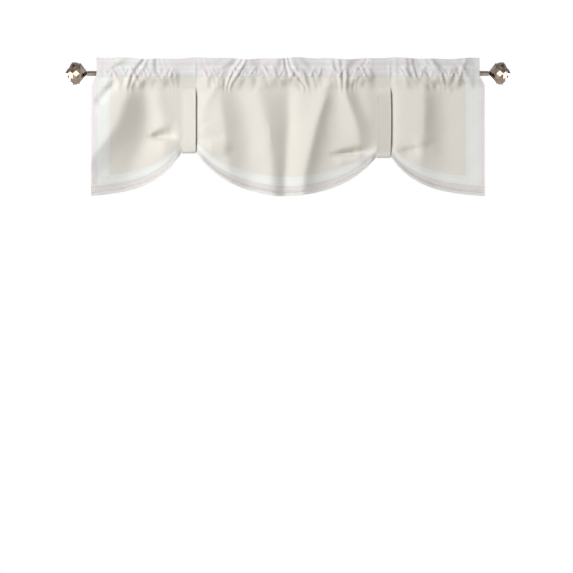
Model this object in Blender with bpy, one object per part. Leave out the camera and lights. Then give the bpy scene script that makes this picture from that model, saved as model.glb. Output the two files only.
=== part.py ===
"""Tie up curtain: a gathered valance with two lifting straps, threaded on a rod with faceted finials.

Metres, +Z up, +X along the rod, and the room side of the curtain faces -Y. The origin is the middle of
the rod's axis. The cloth is one flat rectangle before it is hung, so every piece of it is cut from the
same pair of flat coordinates: a, across the cloth from its middle, and b, down the cloth from the fold
along its top. front_layer and header_layer say where a point of the flat cloth hangs.
"""

import math

import bmesh
import bpy
import numpy as np

# Rod
ROD_RADIUS = 0.008
ROD_WALL = 0.0012
ROD_BARE = 0.0115
PLUG_LENGTH = 0.022
STUD_RADIUS = 0.003
STUD_LENGTH = 0.016
SLIDE_FIT = 0.0003
ROD_SIDES = 16

# Finial: its neck meets the rod, its knob is given as shares of its length, of its radius and of one
# side's turn, so that neighbouring rings make facets
NECK_RADIUS = 0.0074
NECK_LENGTH = 0.003
KNOB_LENGTH = 0.071
KNOB_RADIUS = 0.038
KNOB_SIDES = 12
KNOB_RING_SHARES = [
    (0.295, 0.90, 0.0),
    (0.335, 0.88, 0.0),
    (0.490, 1.00, 0.5),
    (0.665, 0.97, 0.0),
    (0.770, 0.74, 0.5),
    (0.810, 0.51, 0.5),
    (0.895, 0.37, 0.0),
    (1.000, 0.00, 0.0),
]

# Cloth as it is cut
FLAT_WIDTH = 1.524
FLAT_DROP = 0.457
CLOTH = 0.0012
SEAM_GAP = 0.0003
BORDER = 0.0635
SIDE_TRIM = 0.016
HEM_TRIM = 0.034

# Cloth as it hangs: its borders lie nearly flat, and the panel between them is drawn up on the rod
HEADER_WIDTH = 1.264
BODY_WIDTH = 1.299
BORDER_SHARE = 0.98
FRILL = 0.038
STITCH_EASE = 0.006
POCKET_DEPTH = 0.060
LAYER_GAP = 0.0010
BACK_FREE = 0.031
BACK_EASE = 0.0008

# Small gathers, counted across the beige panel: how high the highest are, by what share of that the
# height drifts along the rod and over what length, and how far below the pocket they end
GATHERS = 39
GATHER_HEIGHT = 0.0056
GATHER_VARIES = 0.8
GATHER_DRIFT = 0.17
GATHER_FADE = 0.030

# Folds of the frill: each corner's place as a share of half the header's width, and how far it stands
# out there in metres. The shares after them say what is left of the folds at the frill's stitch and in
# the pocket, and what is left of the gathers at the frill's top
FRILL_FOLDS = [
    (-1.000, 0.001), (-0.956, 0.003), (-0.886, 0.001), (-0.804, 0.007), (-0.767, -0.004), (-0.726, 0.007),
    (-0.695, -0.004), (-0.633, 0.000), (-0.479, 0.000), (-0.361, 0.007), (-0.313, -0.005), (-0.225, 0.006),
    (-0.177, -0.004), (-0.052, 0.006), (-0.005, -0.005), (0.079, 0.006), (0.125, -0.004), (0.293, 0.008),
    (0.345, -0.005), (0.408, 0.002), (0.538, 0.000), (0.642, 0.006), (0.679, -0.005), (0.783, 0.007),
    (0.840, -0.005), (0.908, 0.005), (0.949, -0.003), (1.000, 0.001),
]
STITCH_SHARE = 0.45
POCKET_SHARE = 0.50
TOP_SHARE = 0.30

# Straps, and the cloth that they lift: the shares give a strap's run behind the cloth, as depth and as
# height above the hem, and each lift has its length and reach on the outer and the inner side
STRAP_MIDDLES = (-0.3275, 0.3155)
STRAP_WIDTH = 0.045
STRAP_LIFTS = (0.146, 0.131)
STRAP_EASE = 0.002
STRAP_BACK = 0.029
STRAP_BACK_SHARES = [(0.6, 0.0), (1.0, 0.05), (1.0, 0.25), (0.8, 0.45)]
LIFT_LENGTHS = (0.095, 0.115)
LIFT_REACHES = (0.310, 0.270)
HELD_EASE = 0.012
CALM_REACH = 0.040

# Fold lines of the three swags, from left to right. Each has its place as a share of the swag's width,
# low, half way and high on the cloth, and how far it stands out at those levels in metres
FOLD_DROPS = (0.297, 0.141, 0.0)
LEFT_SWAG = [
    ((-0.40, 0.00, 0.00), (0.020, 0.003, 0.001)),
    ((-0.17, 0.27, 0.45), (0.030, 0.036, 0.019)),
    ((0.27, 0.52, 0.56), (0.004, 0.006, 0.003)),
    ((0.45, 0.63, 0.60), (0.000, 0.000, 0.000)),
    ((0.83, 0.82, 0.69), (0.006, 0.007, 0.013)),
    ((0.93, 0.91, 0.78), (0.003, 0.004, 0.004)),
    ((1.00, 1.00, 1.00), (0.000, 0.000, 0.000)),
]
MIDDLE_SWAG = [
    ((0.000, 0.000, 0.000), (0.000, 0.000, 0.000)),
    ((0.035, 0.032, 0.062), (-0.004, -0.006, -0.005)),
    ((0.201, 0.181, 0.140), (0.010, 0.026, 0.017)),
    ((0.296, 0.281, 0.234), (0.000, 0.000, 0.000)),
    ((0.435, 0.403, 0.343), (0.024, 0.024, 0.016)),
    ((0.487, 0.502, 0.500), (0.002, 0.000, 0.000)),
    ((0.543, 0.569, 0.580), (0.016, 0.016, 0.014)),
    ((0.590, 0.647, 0.724), (0.026, 0.030, 0.021)),
    ((0.627, 0.691, 0.747), (0.013, 0.013, 0.009)),
    ((0.686, 0.761, 0.774), (0.000, 0.000, 0.001)),
    ((0.905, 0.898, 0.814), (0.006, 0.023, 0.019)),
    ((0.982, 0.960, 0.866), (0.000, 0.000, 0.002)),
    ((1.000, 1.000, 1.000), (0.000, 0.000, 0.000)),
]
RIGHT_SWAG = [
    ((0.00, 0.00, 0.00), (0.000, 0.000, 0.000)),
    ((0.12, 0.12, 0.10), (-0.005, -0.008, -0.007)),
    ((0.37, 0.37, 0.37), (0.010, 0.030, 0.018)),
    ((0.40, 0.43, 0.42), (0.006, 0.016, 0.008)),
    ((0.48, 0.56, 0.55), (0.000, 0.000, 0.000)),
    ((0.81, 0.81, 0.81), (0.007, 0.007, 0.005)),
    ((1.00, 1.00, 1.00), (0.006, 0.006, 0.004)),
]
FOLD_ROUNDING = 0.008
FOLD_GROWTH = 0.045
FOLD_SHARE = 0.55
HEM_FLARE = 0.004
FLARE_REACH = 0.024
DEEPEST = 0.030

# Creases, below 0, and rolls, above 0, of the cloth that a strap lifts. Each runs between two points,
# given across from the strap's middle and up from the hem under it, and then come its heights at even
# steps along that line and how far it spreads
LEFT_CREASES = [
    ((-0.122, 0.053), (-0.023, 0.052), (-0.006, -0.010, -0.008), 0.018),
    ((-0.113, 0.021), (-0.023, 0.023), (0.003, 0.006, 0.004), 0.019),
    ((0.028, 0.119), (0.102, 0.187), (0.002, 0.006), 0.016),
    ((0.033, 0.085), (0.085, 0.112), (-0.005, -0.004), 0.010),
    ((0.037, 0.047), (0.098, 0.050), (-0.006, -0.004), 0.011),
    ((0.032, 0.021), (0.122, 0.009), (0.004, 0.009, 0.012), 0.020),
    ((0.038, -0.017), (0.113, -0.037), (-0.003, -0.006), 0.018),
]
RIGHT_CREASES = [
    ((-0.158, 0.028), (-0.084, 0.052), (0.003, 0.004), 0.012),
    ((-0.160, 0.008), (-0.098, 0.027), (-0.007, -0.008), 0.015),
    ((-0.080, 0.031), (-0.024, 0.036), (-0.007, -0.007), 0.015),
    ((-0.144, -0.008), (-0.026, 0.012), (0.004, 0.005), 0.016),
    ((0.029, 0.012), (0.151, -0.010), (-0.003, -0.008, -0.005), 0.020),
]

# How finely the cloth is drawn
PANEL_ROWS = 12
HEM_ROWS = 2
POCKET_ROWS = 2
BAND_COLUMNS = 2
WRAP_STEP = math.radians(44)
NUDGE_ACROSS = 0.006
NUDGE_AROUND = 0.0002
NUDGE_DOWN = 0.005

# Worked out from the sizes above
ROD_HALF = max(BODY_WIDTH, HEADER_WIDTH) / 2 + ROD_BARE
HEADER_STITCH = ROD_RADIUS + STITCH_EASE
HEADER_TOP = HEADER_STITCH + FRILL
POCKET_STITCH = HEADER_STITCH - POCKET_DEPTH
HANG_START = FRILL + POCKET_DEPTH
HANG_LENGTH = FLAT_DROP - HANG_START
HALF_GAP = (CLOTH + LAYER_GAP) / 2
WRAP_RADIUS = (ROD_RADIUS + SEAM_GAP + CLOTH / 2) / math.cos(WRAP_STEP / 2)
TOUCH_ANGLE = math.asin(min(WRAP_RADIUS / HEADER_STITCH, 1))
TOUCH_HEIGHT = WRAP_RADIUS * math.sin(TOUCH_ANGLE)
TOUCH_SIDE = WRAP_RADIUS * math.cos(TOUCH_ANGLE)
PANEL_HALF = FLAT_WIDTH / 2 - BORDER
TRIM_INNER = FLAT_WIDTH / 2 - SIDE_TRIM
HEM_TOP = FLAT_DROP - BORDER
HEM_TRIM_TOP = FLAT_DROP - HEM_TRIM
GATHER_WIDTH = 2 * PANEL_HALF / GATHERS
FOLD_HEIGHTS = [POCKET_STITCH - drop for drop in FOLD_DROPS]


def smooth_step(value):
    """Runs from 0 to 1, level at both ends, as value does."""
    value = np.clip(value, 0, 1)
    return value * value * (3 - 2 * value)


def hung_x(a, z):
    """Across the hung cloth: the panel shrinks to what the borders leave of the width at a height."""
    widening = smooth_step(z / POCKET_STITCH)
    half = (HEADER_WIDTH + (BODY_WIDTH - HEADER_WIDTH) * widening) / 2
    inner = np.minimum(np.abs(a), PANEL_HALF) * (half - BORDER * BORDER_SHARE) / PANEL_HALF
    outer = np.maximum(np.abs(a) - PANEL_HALF, 0) * BORDER_SHARE
    return np.sign(a) * (inner + outer)


def beside_strap(x):
    """Distance across the hung cloth from the nearest strap's edge, and 0 behind a strap."""
    gaps = [np.abs(x - middle) - STRAP_WIDTH / 2 for middle in STRAP_MIDDLES]
    return np.maximum(np.minimum(*gaps), 0)


def hem_height(x):
    """Height of the hem: level, and drawn up to each strap.

    The lift falls off as e to the power of minus the distance from the strap over a length, less what
    that is at the reach, so it ends there.
    """
    height = POCKET_STITCH - HANG_LENGTH
    for middle, lift, outwards in zip(STRAP_MIDDLES, STRAP_LIFTS, (-1, 1)):
        beside = np.maximum(np.abs(x - middle) - STRAP_WIDTH / 2, 0)
        outer = (x - middle) * outwards > 0
        length = np.where(outer, *LIFT_LENGTHS)
        reach = np.where(outer, *LIFT_REACHES)
        rest = np.exp(-reach / length)
        height = height + lift * (np.exp(-np.minimum(beside, reach) / length) - rest) / (1 - rest)
    return height


def gathers(a, x):
    """Small gathers, which only stand outwards: none at the straps and none in the borders."""
    swell = 0.5 - 0.5 * np.cos(2 * math.pi * (a + PANEL_HALF) / GATHER_WIDTH)
    drift = 1 - GATHER_VARIES * (0.5 - 0.5 * np.sin(2 * math.pi * x / GATHER_DRIFT + 1))
    calm = smooth_step(beside_strap(x) / CALM_REACH)
    return np.where(np.abs(a) < PANEL_HALF, GATHER_HEIGHT * drift * swell * calm, 0)


def broken_line(x, z, lines):
    """A broken line from fold line to fold line, with each corner rounded.

    It starts at the first line's height with the first stretch's slope. Each corner then adds its change
    of slope, times the rounding, times the logarithm of 1 + e to the power of (distance / rounding).
    """
    places = [np.interp(z, FOLD_HEIGHTS, line[0]) for line in lines]
    heights = [np.interp(z, FOLD_HEIGHTS, line[1]) for line in lines]
    slopes = [(heights[k + 1] - heights[k]) / (places[k + 1] - places[k]) for k in range(len(lines) - 1)]
    out = heights[0] + slopes[0] * (x - places[0])
    for k in range(1, len(slopes)):
        corner = FOLD_ROUNDING * np.logaddexp(0, (x - places[k]) / FOLD_ROUNDING)
        out = out + (slopes[k] - slopes[k - 1]) * corner
    return out


def swag_lines():
    """The fold lines of all three swags, with their places in metres along the rod."""
    half = STRAP_WIDTH / 2
    left, right = STRAP_MIDDLES
    swags = [(LEFT_SWAG, -BODY_WIDTH / 2, left - half), (MIDDLE_SWAG, left + half, right - half),
             (RIGHT_SWAG, right + half, BODY_WIDTH / 2)]
    return [([start + (end - start) * share for share in shares], heights)
            for folds, start, end in swags for shares, heights in folds]


def ridge(x, z, start, end, heights, spread):
    """Height along a line, times e to the power of minus (distance from it / spread) squared."""
    run = np.array(end) - np.array(start)
    along = np.clip(((x - start[0]) * run[0] + (z - start[1]) * run[1]) / (run @ run), 0, 1)
    away = (x - start[0] - along * run[0]) ** 2 + (z - start[1] - along * run[1]) ** 2
    return np.interp(along, np.linspace(0, 1, len(heights)), heights) * np.exp(-away / spread ** 2)


def swag_depth(x, z):
    """How far the cloth below the rod stands out: broad folds, creases and rolls, and a flare at the hem.

    The folds have a share of their height at the pocket's lower stitch and are whole a little below it.
    Behind a strap the cloth is flat, and above the stitch it never stands in from the pocket.
    """
    in_pocket = smooth_step((-WRAP_RADIUS - z) / (-WRAP_RADIUS - POCKET_STITCH))
    below = smooth_step((POCKET_STITCH - z) / FOLD_GROWTH)
    out = broken_line(x, z, swag_lines()) * (FOLD_SHARE * in_pocket + (1 - FOLD_SHARE) * below)
    for middle, creases in zip(STRAP_MIDDLES, (LEFT_CREASES, RIGHT_CREASES)):
        foot = np.array((middle, float(hem_height(middle))))
        for start, end, heights, spread in creases:
            out = out + ridge(x, z, foot + start, foot + end, heights, spread)
    out = out + HEM_FLARE * smooth_step((hem_height(x) + FLARE_REACH - z) / FLARE_REACH)
    out = out * smooth_step(beside_strap(x) / HELD_EASE)
    return np.maximum(out, -DEEPEST * smooth_step((POCKET_STITCH - z) / DEEPEST))


def frill_sway(x, z):
    """The frill's own folds, which the straps' flat cloth has none of."""
    lines = [((share * HEADER_WIDTH / 2,) * 3, (height,) * 3) for share, height in FRILL_FOLDS]
    return broken_line(x, z, lines) * smooth_step(beside_strap(x) / CALM_REACH)


def half_apart(z):
    """Half the distance between the header's two layers at a height.

    From the top down: a half round fold, two layers face to face, a straight line from the header stitch
    to the rod, the rod's own round side, and a slow curve that closes the pocket at its lower stitch.
    """
    from_top = np.clip(HEADER_TOP - z, 0, HALF_GAP)
    frill = np.sqrt(HALF_GAP ** 2 - (HALF_GAP - from_top) ** 2)
    slope = (TOUCH_SIDE - HALF_GAP) / (HEADER_STITCH - TOUCH_HEIGHT)
    over_rod = HALF_GAP + slope * (HEADER_STITCH - z)
    beside_rod = np.sqrt(np.maximum(WRAP_RADIUS ** 2 - z ** 2, 0))
    closing = 0.5 + 0.5 * np.cos(math.pi * np.clip(z / POCKET_STITCH, 0, 1))
    under_rod = HALF_GAP + (WRAP_RADIUS - HALF_GAP) * closing
    levels = [z >= HEADER_STITCH, z >= TOUCH_HEIGHT, z >= 0]
    return np.select(levels, [frill, over_rod, beside_rod], under_rod)


def round_rod(z):
    """0 in the frill, and 1 from where the cloth touches the rod down."""
    return np.clip((HEADER_STITCH - z) / (HEADER_STITCH - TOUCH_HEIGHT), 0, 1)


def ruffle(a, x, z):
    """How far both layers of the frill sway towards the room: the folds more at its top, the gathers less."""
    above = np.clip((z - HEADER_STITCH) / FRILL, 0, 1)
    folds = frill_sway(x, z) * (STITCH_SHARE + (1 - STITCH_SHARE) * above)
    return (1 - round_rod(z)) * (folds + gathers(a, x) * (1 - (1 - TOP_SHARE) * above))


def pocket_bulge(a, x, z):
    """How far a layer of the pocket stands off the rod: by its gathers, and by what is left of the folds."""
    folds = POCKET_SHARE * np.maximum(frill_sway(x, z), 0)
    folds = folds * smooth_step((z - POCKET_STITCH) / (-WRAP_RADIUS - POCKET_STITCH))
    return round_rod(z) * (folds + gathers(a, x) * (1 - smooth_step((POCKET_STITCH - z) / GATHER_FADE)))


def front_layer(a, b):
    """A point of the cloth on the room side, from the fold along the top down to the hem."""
    z_pocket = HEADER_TOP - b
    x = hung_x(a, np.maximum(z_pocket, POCKET_STITCH))
    share = np.maximum(b - HANG_START, 0) / HANG_LENGTH
    z_free = POCKET_STITCH - (POCKET_STITCH - hem_height(x)) * share
    z = np.where(b < HANG_START, z_pocket, z_free)
    y = -half_apart(z) - ruffle(a, x, z) - pocket_bulge(a, x, z) - swag_depth(x, z)
    return np.stack([x, y, z], axis=-1)


def back_layer(a, b):
    """A point of the cloth on the window side, down to the pocket's lower stitch.

    Near that stitch it follows the front layer, which it is sewn to.
    """
    z = HEADER_TOP - b
    x = hung_x(a, z)
    joined = smooth_step((b - HEADER_TOP - BACK_FREE) / (HANG_START - HEADER_TOP - BACK_FREE))
    sewn = front_layer(a, np.full(a.shape, HANG_START))[..., 1] + 2 * HALF_GAP + BACK_EASE
    y = half_apart(z) - ruffle(a, x, z) + pocket_bulge(a, x, z)
    return np.stack([x, y * (1 - joined) + sewn * joined, z], axis=-1)


def header_layer(a, around):
    """A point of the folded header: around is below 0 on the room side and above 0 on the window side."""
    room_side = (around < 0)[..., None]
    return np.where(room_side, front_layer(a, np.abs(around)), back_layer(a, np.abs(around)))


def paint(name, colour, roughness, metallic=0.0):
    """Makes a plain material."""
    finish = bpy.data.materials.new(name)
    finish.use_nodes = True
    shader = finish.node_tree.nodes["Principled BSDF"]
    shader.inputs["Base Color"].default_value = (*colour, 1)
    shader.inputs["Roughness"].default_value = roughness
    shader.inputs["Metallic"].default_value = metallic
    finish.diffuse_color = (*colour, 1)
    return finish


def place(name, mesh, finish):
    """Puts a finished mesh into the scene as a named object."""
    mesh.materials.append(finish)
    thing = bpy.data.objects.new(name, mesh)
    bpy.context.scene.collection.objects.link(thing)
    return thing


def sheet(name, surface, across, down, finish, nudge=NUDGE_DOWN):
    """Makes a closed sheet of cloth: its skins lie half a cloth's thickness to each side of a surface.

    The surface's tilt is taken over a short way across it and, where it turns sharply, a shorter one down.
    """
    u, v = np.meshgrid(across, down, indexing="ij")
    along = surface(u + NUDGE_ACROSS, v) - surface(u - NUDGE_ACROSS, v)
    downward = surface(u, v + nudge) - surface(u, v - nudge)
    normal = np.cross(along, downward)
    normal *= CLOTH / 2 / np.linalg.norm(normal, axis=-1, keepdims=True)
    points = np.stack([surface(u, v) + normal, surface(u, v) - normal])
    number = np.arange(points[..., 0].size).reshape(points.shape[:3])

    def halves(p, q, r, s):
        """Splits each four-cornered face in two."""
        corners = [np.stack(three, axis=-1).reshape(-1, 3) for three in ((p, q, r), (p, r, s))]
        return np.concatenate(corners)

    def skin(number):
        """Faces of one skin. Those past the fold are split the other way, so that both layers match."""
        p, q, r, s = number[:-1, :-1], number[1:, :-1], number[1:, 1:], number[:-1, 1:]
        before = np.asarray(down)[1:] <= 0
        return halves(*(np.where(before, one, other) for one, other in ((p, q), (q, r), (r, s), (s, p))))

    top, bottom = number
    faces = [skin(top), skin(bottom)[:, ::-1]]
    rims = [(top[:, 0], bottom[:, 0], 1), (top[:, -1], bottom[:, -1], -1),
            (top[0], bottom[0], -1), (top[-1], bottom[-1], 1)]
    for upper, lower, turn in rims:
        faces.append(halves(upper[:-1], lower[:-1], lower[1:], upper[1:])[:, ::turn])
    mesh = bpy.data.meshes.new(name)
    mesh.from_pydata(points.reshape(-1, 3).tolist(), [], np.concatenate(faces).tolist())
    return place(name, mesh, finish)


def turned(name, outline, finish, sides, facing=1, loop=False):
    """Turns an outline about the rod's axis.

    Each point is a distance along the axis, a radius and a share of one side by which its ring is turned;
    rings turned by different shares meet in triangular facets. facing is -1 for the left end.
    """
    body = bmesh.new()
    rings = []
    for along, radius, twist in outline:
        count = sides if radius else 1
        angles = [2 * math.pi * (k + twist) / sides for k in range(count)]
        rings.append([body.verts.new((along * facing, radius * math.cos(t), radius * math.sin(t)))
                      for t in angles])
    following = rings[1:] + rings[:1] if loop else rings[1:]
    twists = [point[2] for point in outline]
    for first, second, twist, next_twist in zip(rings, following, twists, twists[1:] + twists[:1]):
        for k in range(sides):
            p, q = first[k % len(first)], first[(k + 1) % len(first)]
            s, r = second[k % len(second)], second[(k + 1) % len(second)]
            if p is q:
                corners = [(p, r, s)]
            elif r is s:
                corners = [(p, q, r)]
            elif next_twist > twist:
                corners = [(p, q, s), (q, r, s)]
            else:
                corners = [(p, q, r), (p, r, s)]
            for corner in corners:
                body.faces.new(corner)
    bmesh.ops.recalc_face_normals(body, faces=body.faces)
    mesh = bpy.data.meshes.new(name)
    body.to_mesh(mesh)
    body.free()
    return place(name, mesh, finish)


def make_rod(metal, plastic):
    """The tube, and the plug in each end that takes a finial's stud."""
    inner = ROD_RADIUS - ROD_WALL
    ends = (-ROD_HALF, ROD_HALF)
    tube = [(ends[0], ROD_RADIUS, 0), (ends[1], ROD_RADIUS, 0), (ends[1], inner, 0), (ends[0], inner, 0)]
    turned("rod", tube, metal, ROD_SIDES, loop=True)
    seat = inner * math.cos(math.pi / ROD_SIDES) - SLIDE_FIT
    bore = (STUD_RADIUS + SLIDE_FIT) / math.cos(math.pi / ROD_SIDES)
    start = ROD_HALF - PLUG_LENGTH
    plug = [(start, seat, 0), (ROD_HALF, seat, 0), (ROD_HALF, bore, 0), (start, bore, 0)]
    for side, facing in (("left", -1), ("right", 1)):
        turned("rod_plug_" + side, plug, plastic, ROD_SIDES, facing, loop=True)


def make_finials(metal):
    """A stud, a short neck and a faceted knob, turned and cut from one piece, for each end."""
    face = ROD_HALF + SLIDE_FIT
    outline = [(face - STUD_LENGTH, 0, 0), (face - STUD_LENGTH, STUD_RADIUS, 0), (face, STUD_RADIUS, 0),
               (face, NECK_RADIUS, 0), (face + NECK_LENGTH, NECK_RADIUS, 0)]
    for along, out, twist in KNOB_RING_SHARES:
        outline.append((face + NECK_LENGTH + KNOB_LENGTH * along, KNOB_RADIUS * out, twist))
    for side, facing in (("left", -1), ("right", 1)):
        turned("finial_" + side, outline, metal, KNOB_SIDES, facing)


def seam(start, end, count):
    """Grid lines of one piece between two seams, each end half a gap short of its seam."""
    lines = np.linspace(start, end, count + 1)
    return inset(lines)


def inset(lines):
    """Draws the first and last grid line half a seam's gap inwards."""
    lines = np.array(lines, dtype=float)
    lines[0] += SEAM_GAP / 2
    lines[-1] -= SEAM_GAP / 2
    return lines


def panel_columns():
    """Columns of the beige panel, two to a gather, with the nearest ones moved to the straps' edges."""
    columns = np.linspace(-PANEL_HALF, PANEL_HALF, 2 * GATHERS + 1)
    flat_share = 2 * PANEL_HALF / (BODY_WIDTH - 2 * BORDER * BORDER_SHARE)
    for middle in STRAP_MIDDLES:
        for edge in (middle - STRAP_WIDTH / 2, middle + STRAP_WIDTH / 2):
            flat = edge * flat_share
            columns[np.argmin(np.abs(columns - flat))] = flat
    return columns


def all_columns(half_width):
    """Columns of a band that runs the whole width, up to half_width to each side."""
    band = np.linspace(PANEL_HALF, TRIM_INNER, BAND_COLUMNS + 1)[1:]
    right = band if half_width <= TRIM_INNER else np.append(band, half_width)
    return np.concatenate([-right[::-1], panel_columns(), right])


def make_cloth(beige, white, trim):
    """The header, the panel, the white bands round it and the trims along its edges."""
    wrap = np.linspace(TOUCH_ANGLE, 0, math.ceil(TOUCH_ANGLE / WRAP_STEP) + 1)
    frill_rows = [HALF_GAP, HEADER_TOP - HEADER_STITCH]
    rod_rows = list(HEADER_TOP - WRAP_RADIUS * np.sin(wrap))
    front_rows = [*frill_rows, *rod_rows, BORDER - SEAM_GAP / 2]
    back_rows = [*frill_rows, *rod_rows, HEADER_TOP + BACK_FREE, HANG_START]
    around = [-row for row in reversed(front_rows)] + [0.0] + back_rows
    sheet("header_band", header_layer, all_columns(FLAT_WIDTH / 2), around, white, NUDGE_AROUND)

    pocket_rows = np.linspace(BORDER, HANG_START, POCKET_ROWS + 1)[:-1]
    hang_rows = np.linspace(HANG_START, HEM_TOP, PANEL_ROWS + 1)
    rows = inset([*pocket_rows, *hang_rows])
    sheet("panel", front_layer, inset(panel_columns()), rows, beige)
    for side, facing in (("left", -1), ("right", 1)):
        band = seam(*sorted((facing * PANEL_HALF, facing * TRIM_INNER)), BAND_COLUMNS)
        edge = sorted((facing * (TRIM_INNER + SEAM_GAP / 2), facing * FLAT_WIDTH / 2))
        hem_rows = np.linspace(HEM_TOP, HEM_TRIM_TOP, HEM_ROWS + 1)[1:]
        edge_rows = inset([*pocket_rows, *hang_rows, *hem_rows])
        sheet("side_band_" + side, front_layer, band, rows, white)
        sheet("side_trim_" + side, front_layer, edge, edge_rows, trim)
    hem_rows = seam(HEM_TOP, HEM_TRIM_TOP, HEM_ROWS)
    sheet("hem_band", front_layer, inset(all_columns(TRIM_INNER)), hem_rows, white)
    hem_edge = [HEM_TRIM_TOP + SEAM_GAP / 2, FLAT_DROP]
    sheet("hem_trim", front_layer, all_columns(FLAT_WIDTH / 2), hem_edge, trim)


def strap_route(middle):
    """Side view of a strap as (y, z) points: down the front, under the hem and up behind the creases."""
    off = CLOTH + SEAM_GAP
    hem = float(hem_height(middle))
    front = -HALF_GAP - off
    under = hem - off - STRAP_EASE
    drop = POCKET_STITCH - under
    down = [(front, POCKET_STITCH), (front, (POCKET_STITCH + hem) / 2), (front, hem), (0, under)]
    up = [(STRAP_BACK * depth, under + drop * height) for depth, height in STRAP_BACK_SHARES]
    return [*down, *up, (HALF_GAP + BACK_EASE + off, POCKET_STITCH)]


def make_straps(beige):
    """Two flat bands, each sewn to the pocket's lower stitch in front and behind."""
    for side, middle in zip(("left", "right"), STRAP_MIDDLES):
        route = np.array(strap_route(middle))
        marks = np.concatenate([[0], np.cumsum(np.linalg.norm(np.diff(route, axis=0), axis=1))])

        def band(across, along):
            """A point of the strap, at a distance along its route."""
            y = np.interp(along, marks, route[:, 0])
            z = np.interp(along, marks, route[:, 1])
            return np.stack([middle + across, y, z], axis=-1)

        sheet("strap_" + side, band, [-STRAP_WIDTH / 2, STRAP_WIDTH / 2], marks, beige, NUDGE_AROUND)


def main():
    """Clears the scene and makes every piece."""
    for thing in list(bpy.data.objects):
        bpy.data.objects.remove(thing)
    bronze = paint("champagne_bronze", (0.42, 0.33, 0.27), 0.22, 1.0)
    beige = paint("beige_cloth", (0.70, 0.67, 0.61), 0.85)
    white = paint("white_cloth", (0.86, 0.86, 0.83), 0.85)
    trim = paint("edge_trim", (0.82, 0.78, 0.77), 0.85)
    plastic = paint("grey_plastic", (0.20, 0.20, 0.20), 0.5)
    make_rod(bronze, plastic)
    make_finials(bronze)
    make_cloth(beige, white, trim)
    make_straps(beige)


main()
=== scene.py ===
# %% [markdown]
# A tie up curtain
#
# A short decorative curtain. A rectangle of cloth, sewn from a panel and its borders, is folded over
# along its top, stitched twice to make a frill and a pocket, and gathered on a rod. Two flat straps hold
# up its hem, so that it falls in three swags. This lesson dresses the plain solids of such a curtain: the
# cloth is worked out again with fine folds, and the rod and its finials keep their solids and get a
# polished finish.

# %% Load the solids
import math

import bpy
import numpy as np
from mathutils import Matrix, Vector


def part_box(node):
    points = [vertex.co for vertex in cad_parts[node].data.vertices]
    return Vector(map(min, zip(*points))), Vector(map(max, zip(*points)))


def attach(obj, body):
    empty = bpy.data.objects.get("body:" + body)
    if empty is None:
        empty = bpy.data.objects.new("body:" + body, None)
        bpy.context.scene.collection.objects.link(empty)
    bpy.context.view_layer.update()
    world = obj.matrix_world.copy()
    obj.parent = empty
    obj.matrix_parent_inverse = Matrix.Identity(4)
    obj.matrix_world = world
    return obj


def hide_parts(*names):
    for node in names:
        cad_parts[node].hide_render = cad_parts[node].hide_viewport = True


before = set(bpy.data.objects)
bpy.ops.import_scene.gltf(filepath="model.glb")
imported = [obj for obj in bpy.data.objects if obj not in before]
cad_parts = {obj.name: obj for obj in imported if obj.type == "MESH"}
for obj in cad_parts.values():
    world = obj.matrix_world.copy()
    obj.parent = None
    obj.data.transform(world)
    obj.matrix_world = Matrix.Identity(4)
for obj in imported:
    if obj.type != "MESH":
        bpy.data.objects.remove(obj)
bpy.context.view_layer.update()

# %% [markdown]
# Camera
#
# The curtain is seen straight from the front, and its sides stay parallel, so an orthographic camera
# fits. Its scale is the width that the picture takes in. The rod hangs high in the picture, which the
# camera's own height gives without any shift of the lens.

# %% Camera
VIEW_WIDTH = 1.891
VIEW_CENTRE = (-0.005, -3.0, -0.703)

camera_data = bpy.data.cameras.new("camera")
camera_data.type = "ORTHO"
camera_data.ortho_scale = VIEW_WIDTH
camera = bpy.data.objects.new("camera", camera_data)
camera.location = VIEW_CENTRE
camera.rotation_euler = (math.radians(90), 0, 0)
bpy.context.scene.collection.objects.link(camera)
bpy.context.scene.camera = camera
print("camera looks along +Y and takes in", VIEW_WIDTH, "m")

# %% [markdown]
# Sizes
#
# What the solids settle is measured from them: the rod's thickness, the frill's top, the hem and the
# width. What is sewn or cut, such as a border or a stitch line, is named here in metres.

# %% Sizes of the cloth and the rod
def low_high(node):
    """The lowest and highest corner of a solid, as two arrays."""
    low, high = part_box(node)
    return np.array(low), np.array(high)


rod_low, rod_high = low_high("rod")
ROD_RADIUS = (rod_high[2] - rod_low[2]) / 2
HEADER_TOP = low_high("header_band")[1][2]
HEM_BOTTOM = low_high("hem_trim")[0][2]
BODY_WIDTH = low_high("hem_trim")[1][0] - low_high("hem_trim")[0][0]

CLOTH = 0.0009
SEAM_GAP = 0.0003
FLAT_WIDTH = 1.524
FLAT_DROP = 0.457
BORDER = 0.0635
SIDE_TRIM = 0.016
HEM_TRIM = 0.034
HEADER_WIDTH = 1.264
FRILL = 0.038
POCKET_DEPTH = 0.060
BORDER_SHARE = 0.98
BACK_EASE = 0.0008
POCKET_EASE = 0.0008

HEADER_STITCH = HEADER_TOP - FRILL
POCKET_STITCH = HEADER_STITCH - POCKET_DEPTH
HANG_START = FRILL + POCKET_DEPTH
HANG_LENGTH = FLAT_DROP - HANG_START
HALF_GAP = (CLOTH + SEAM_GAP) / 2
WRAP_RADIUS = ROD_RADIUS + POCKET_EASE + CLOTH / 2
TOUCH_ANGLE = math.asin(min(WRAP_RADIUS / HEADER_STITCH, 1))
TOUCH_HEIGHT = WRAP_RADIUS * math.sin(TOUCH_ANGLE)
TOUCH_SIDE = WRAP_RADIUS * math.cos(TOUCH_ANGLE)
PANEL_HALF = FLAT_WIDTH / 2 - BORDER
TRIM_INNER = FLAT_WIDTH / 2 - SIDE_TRIM
HEM_TOP = FLAT_DROP - BORDER
HEM_TRIM_TOP = FLAT_DROP - HEM_TRIM

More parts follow.
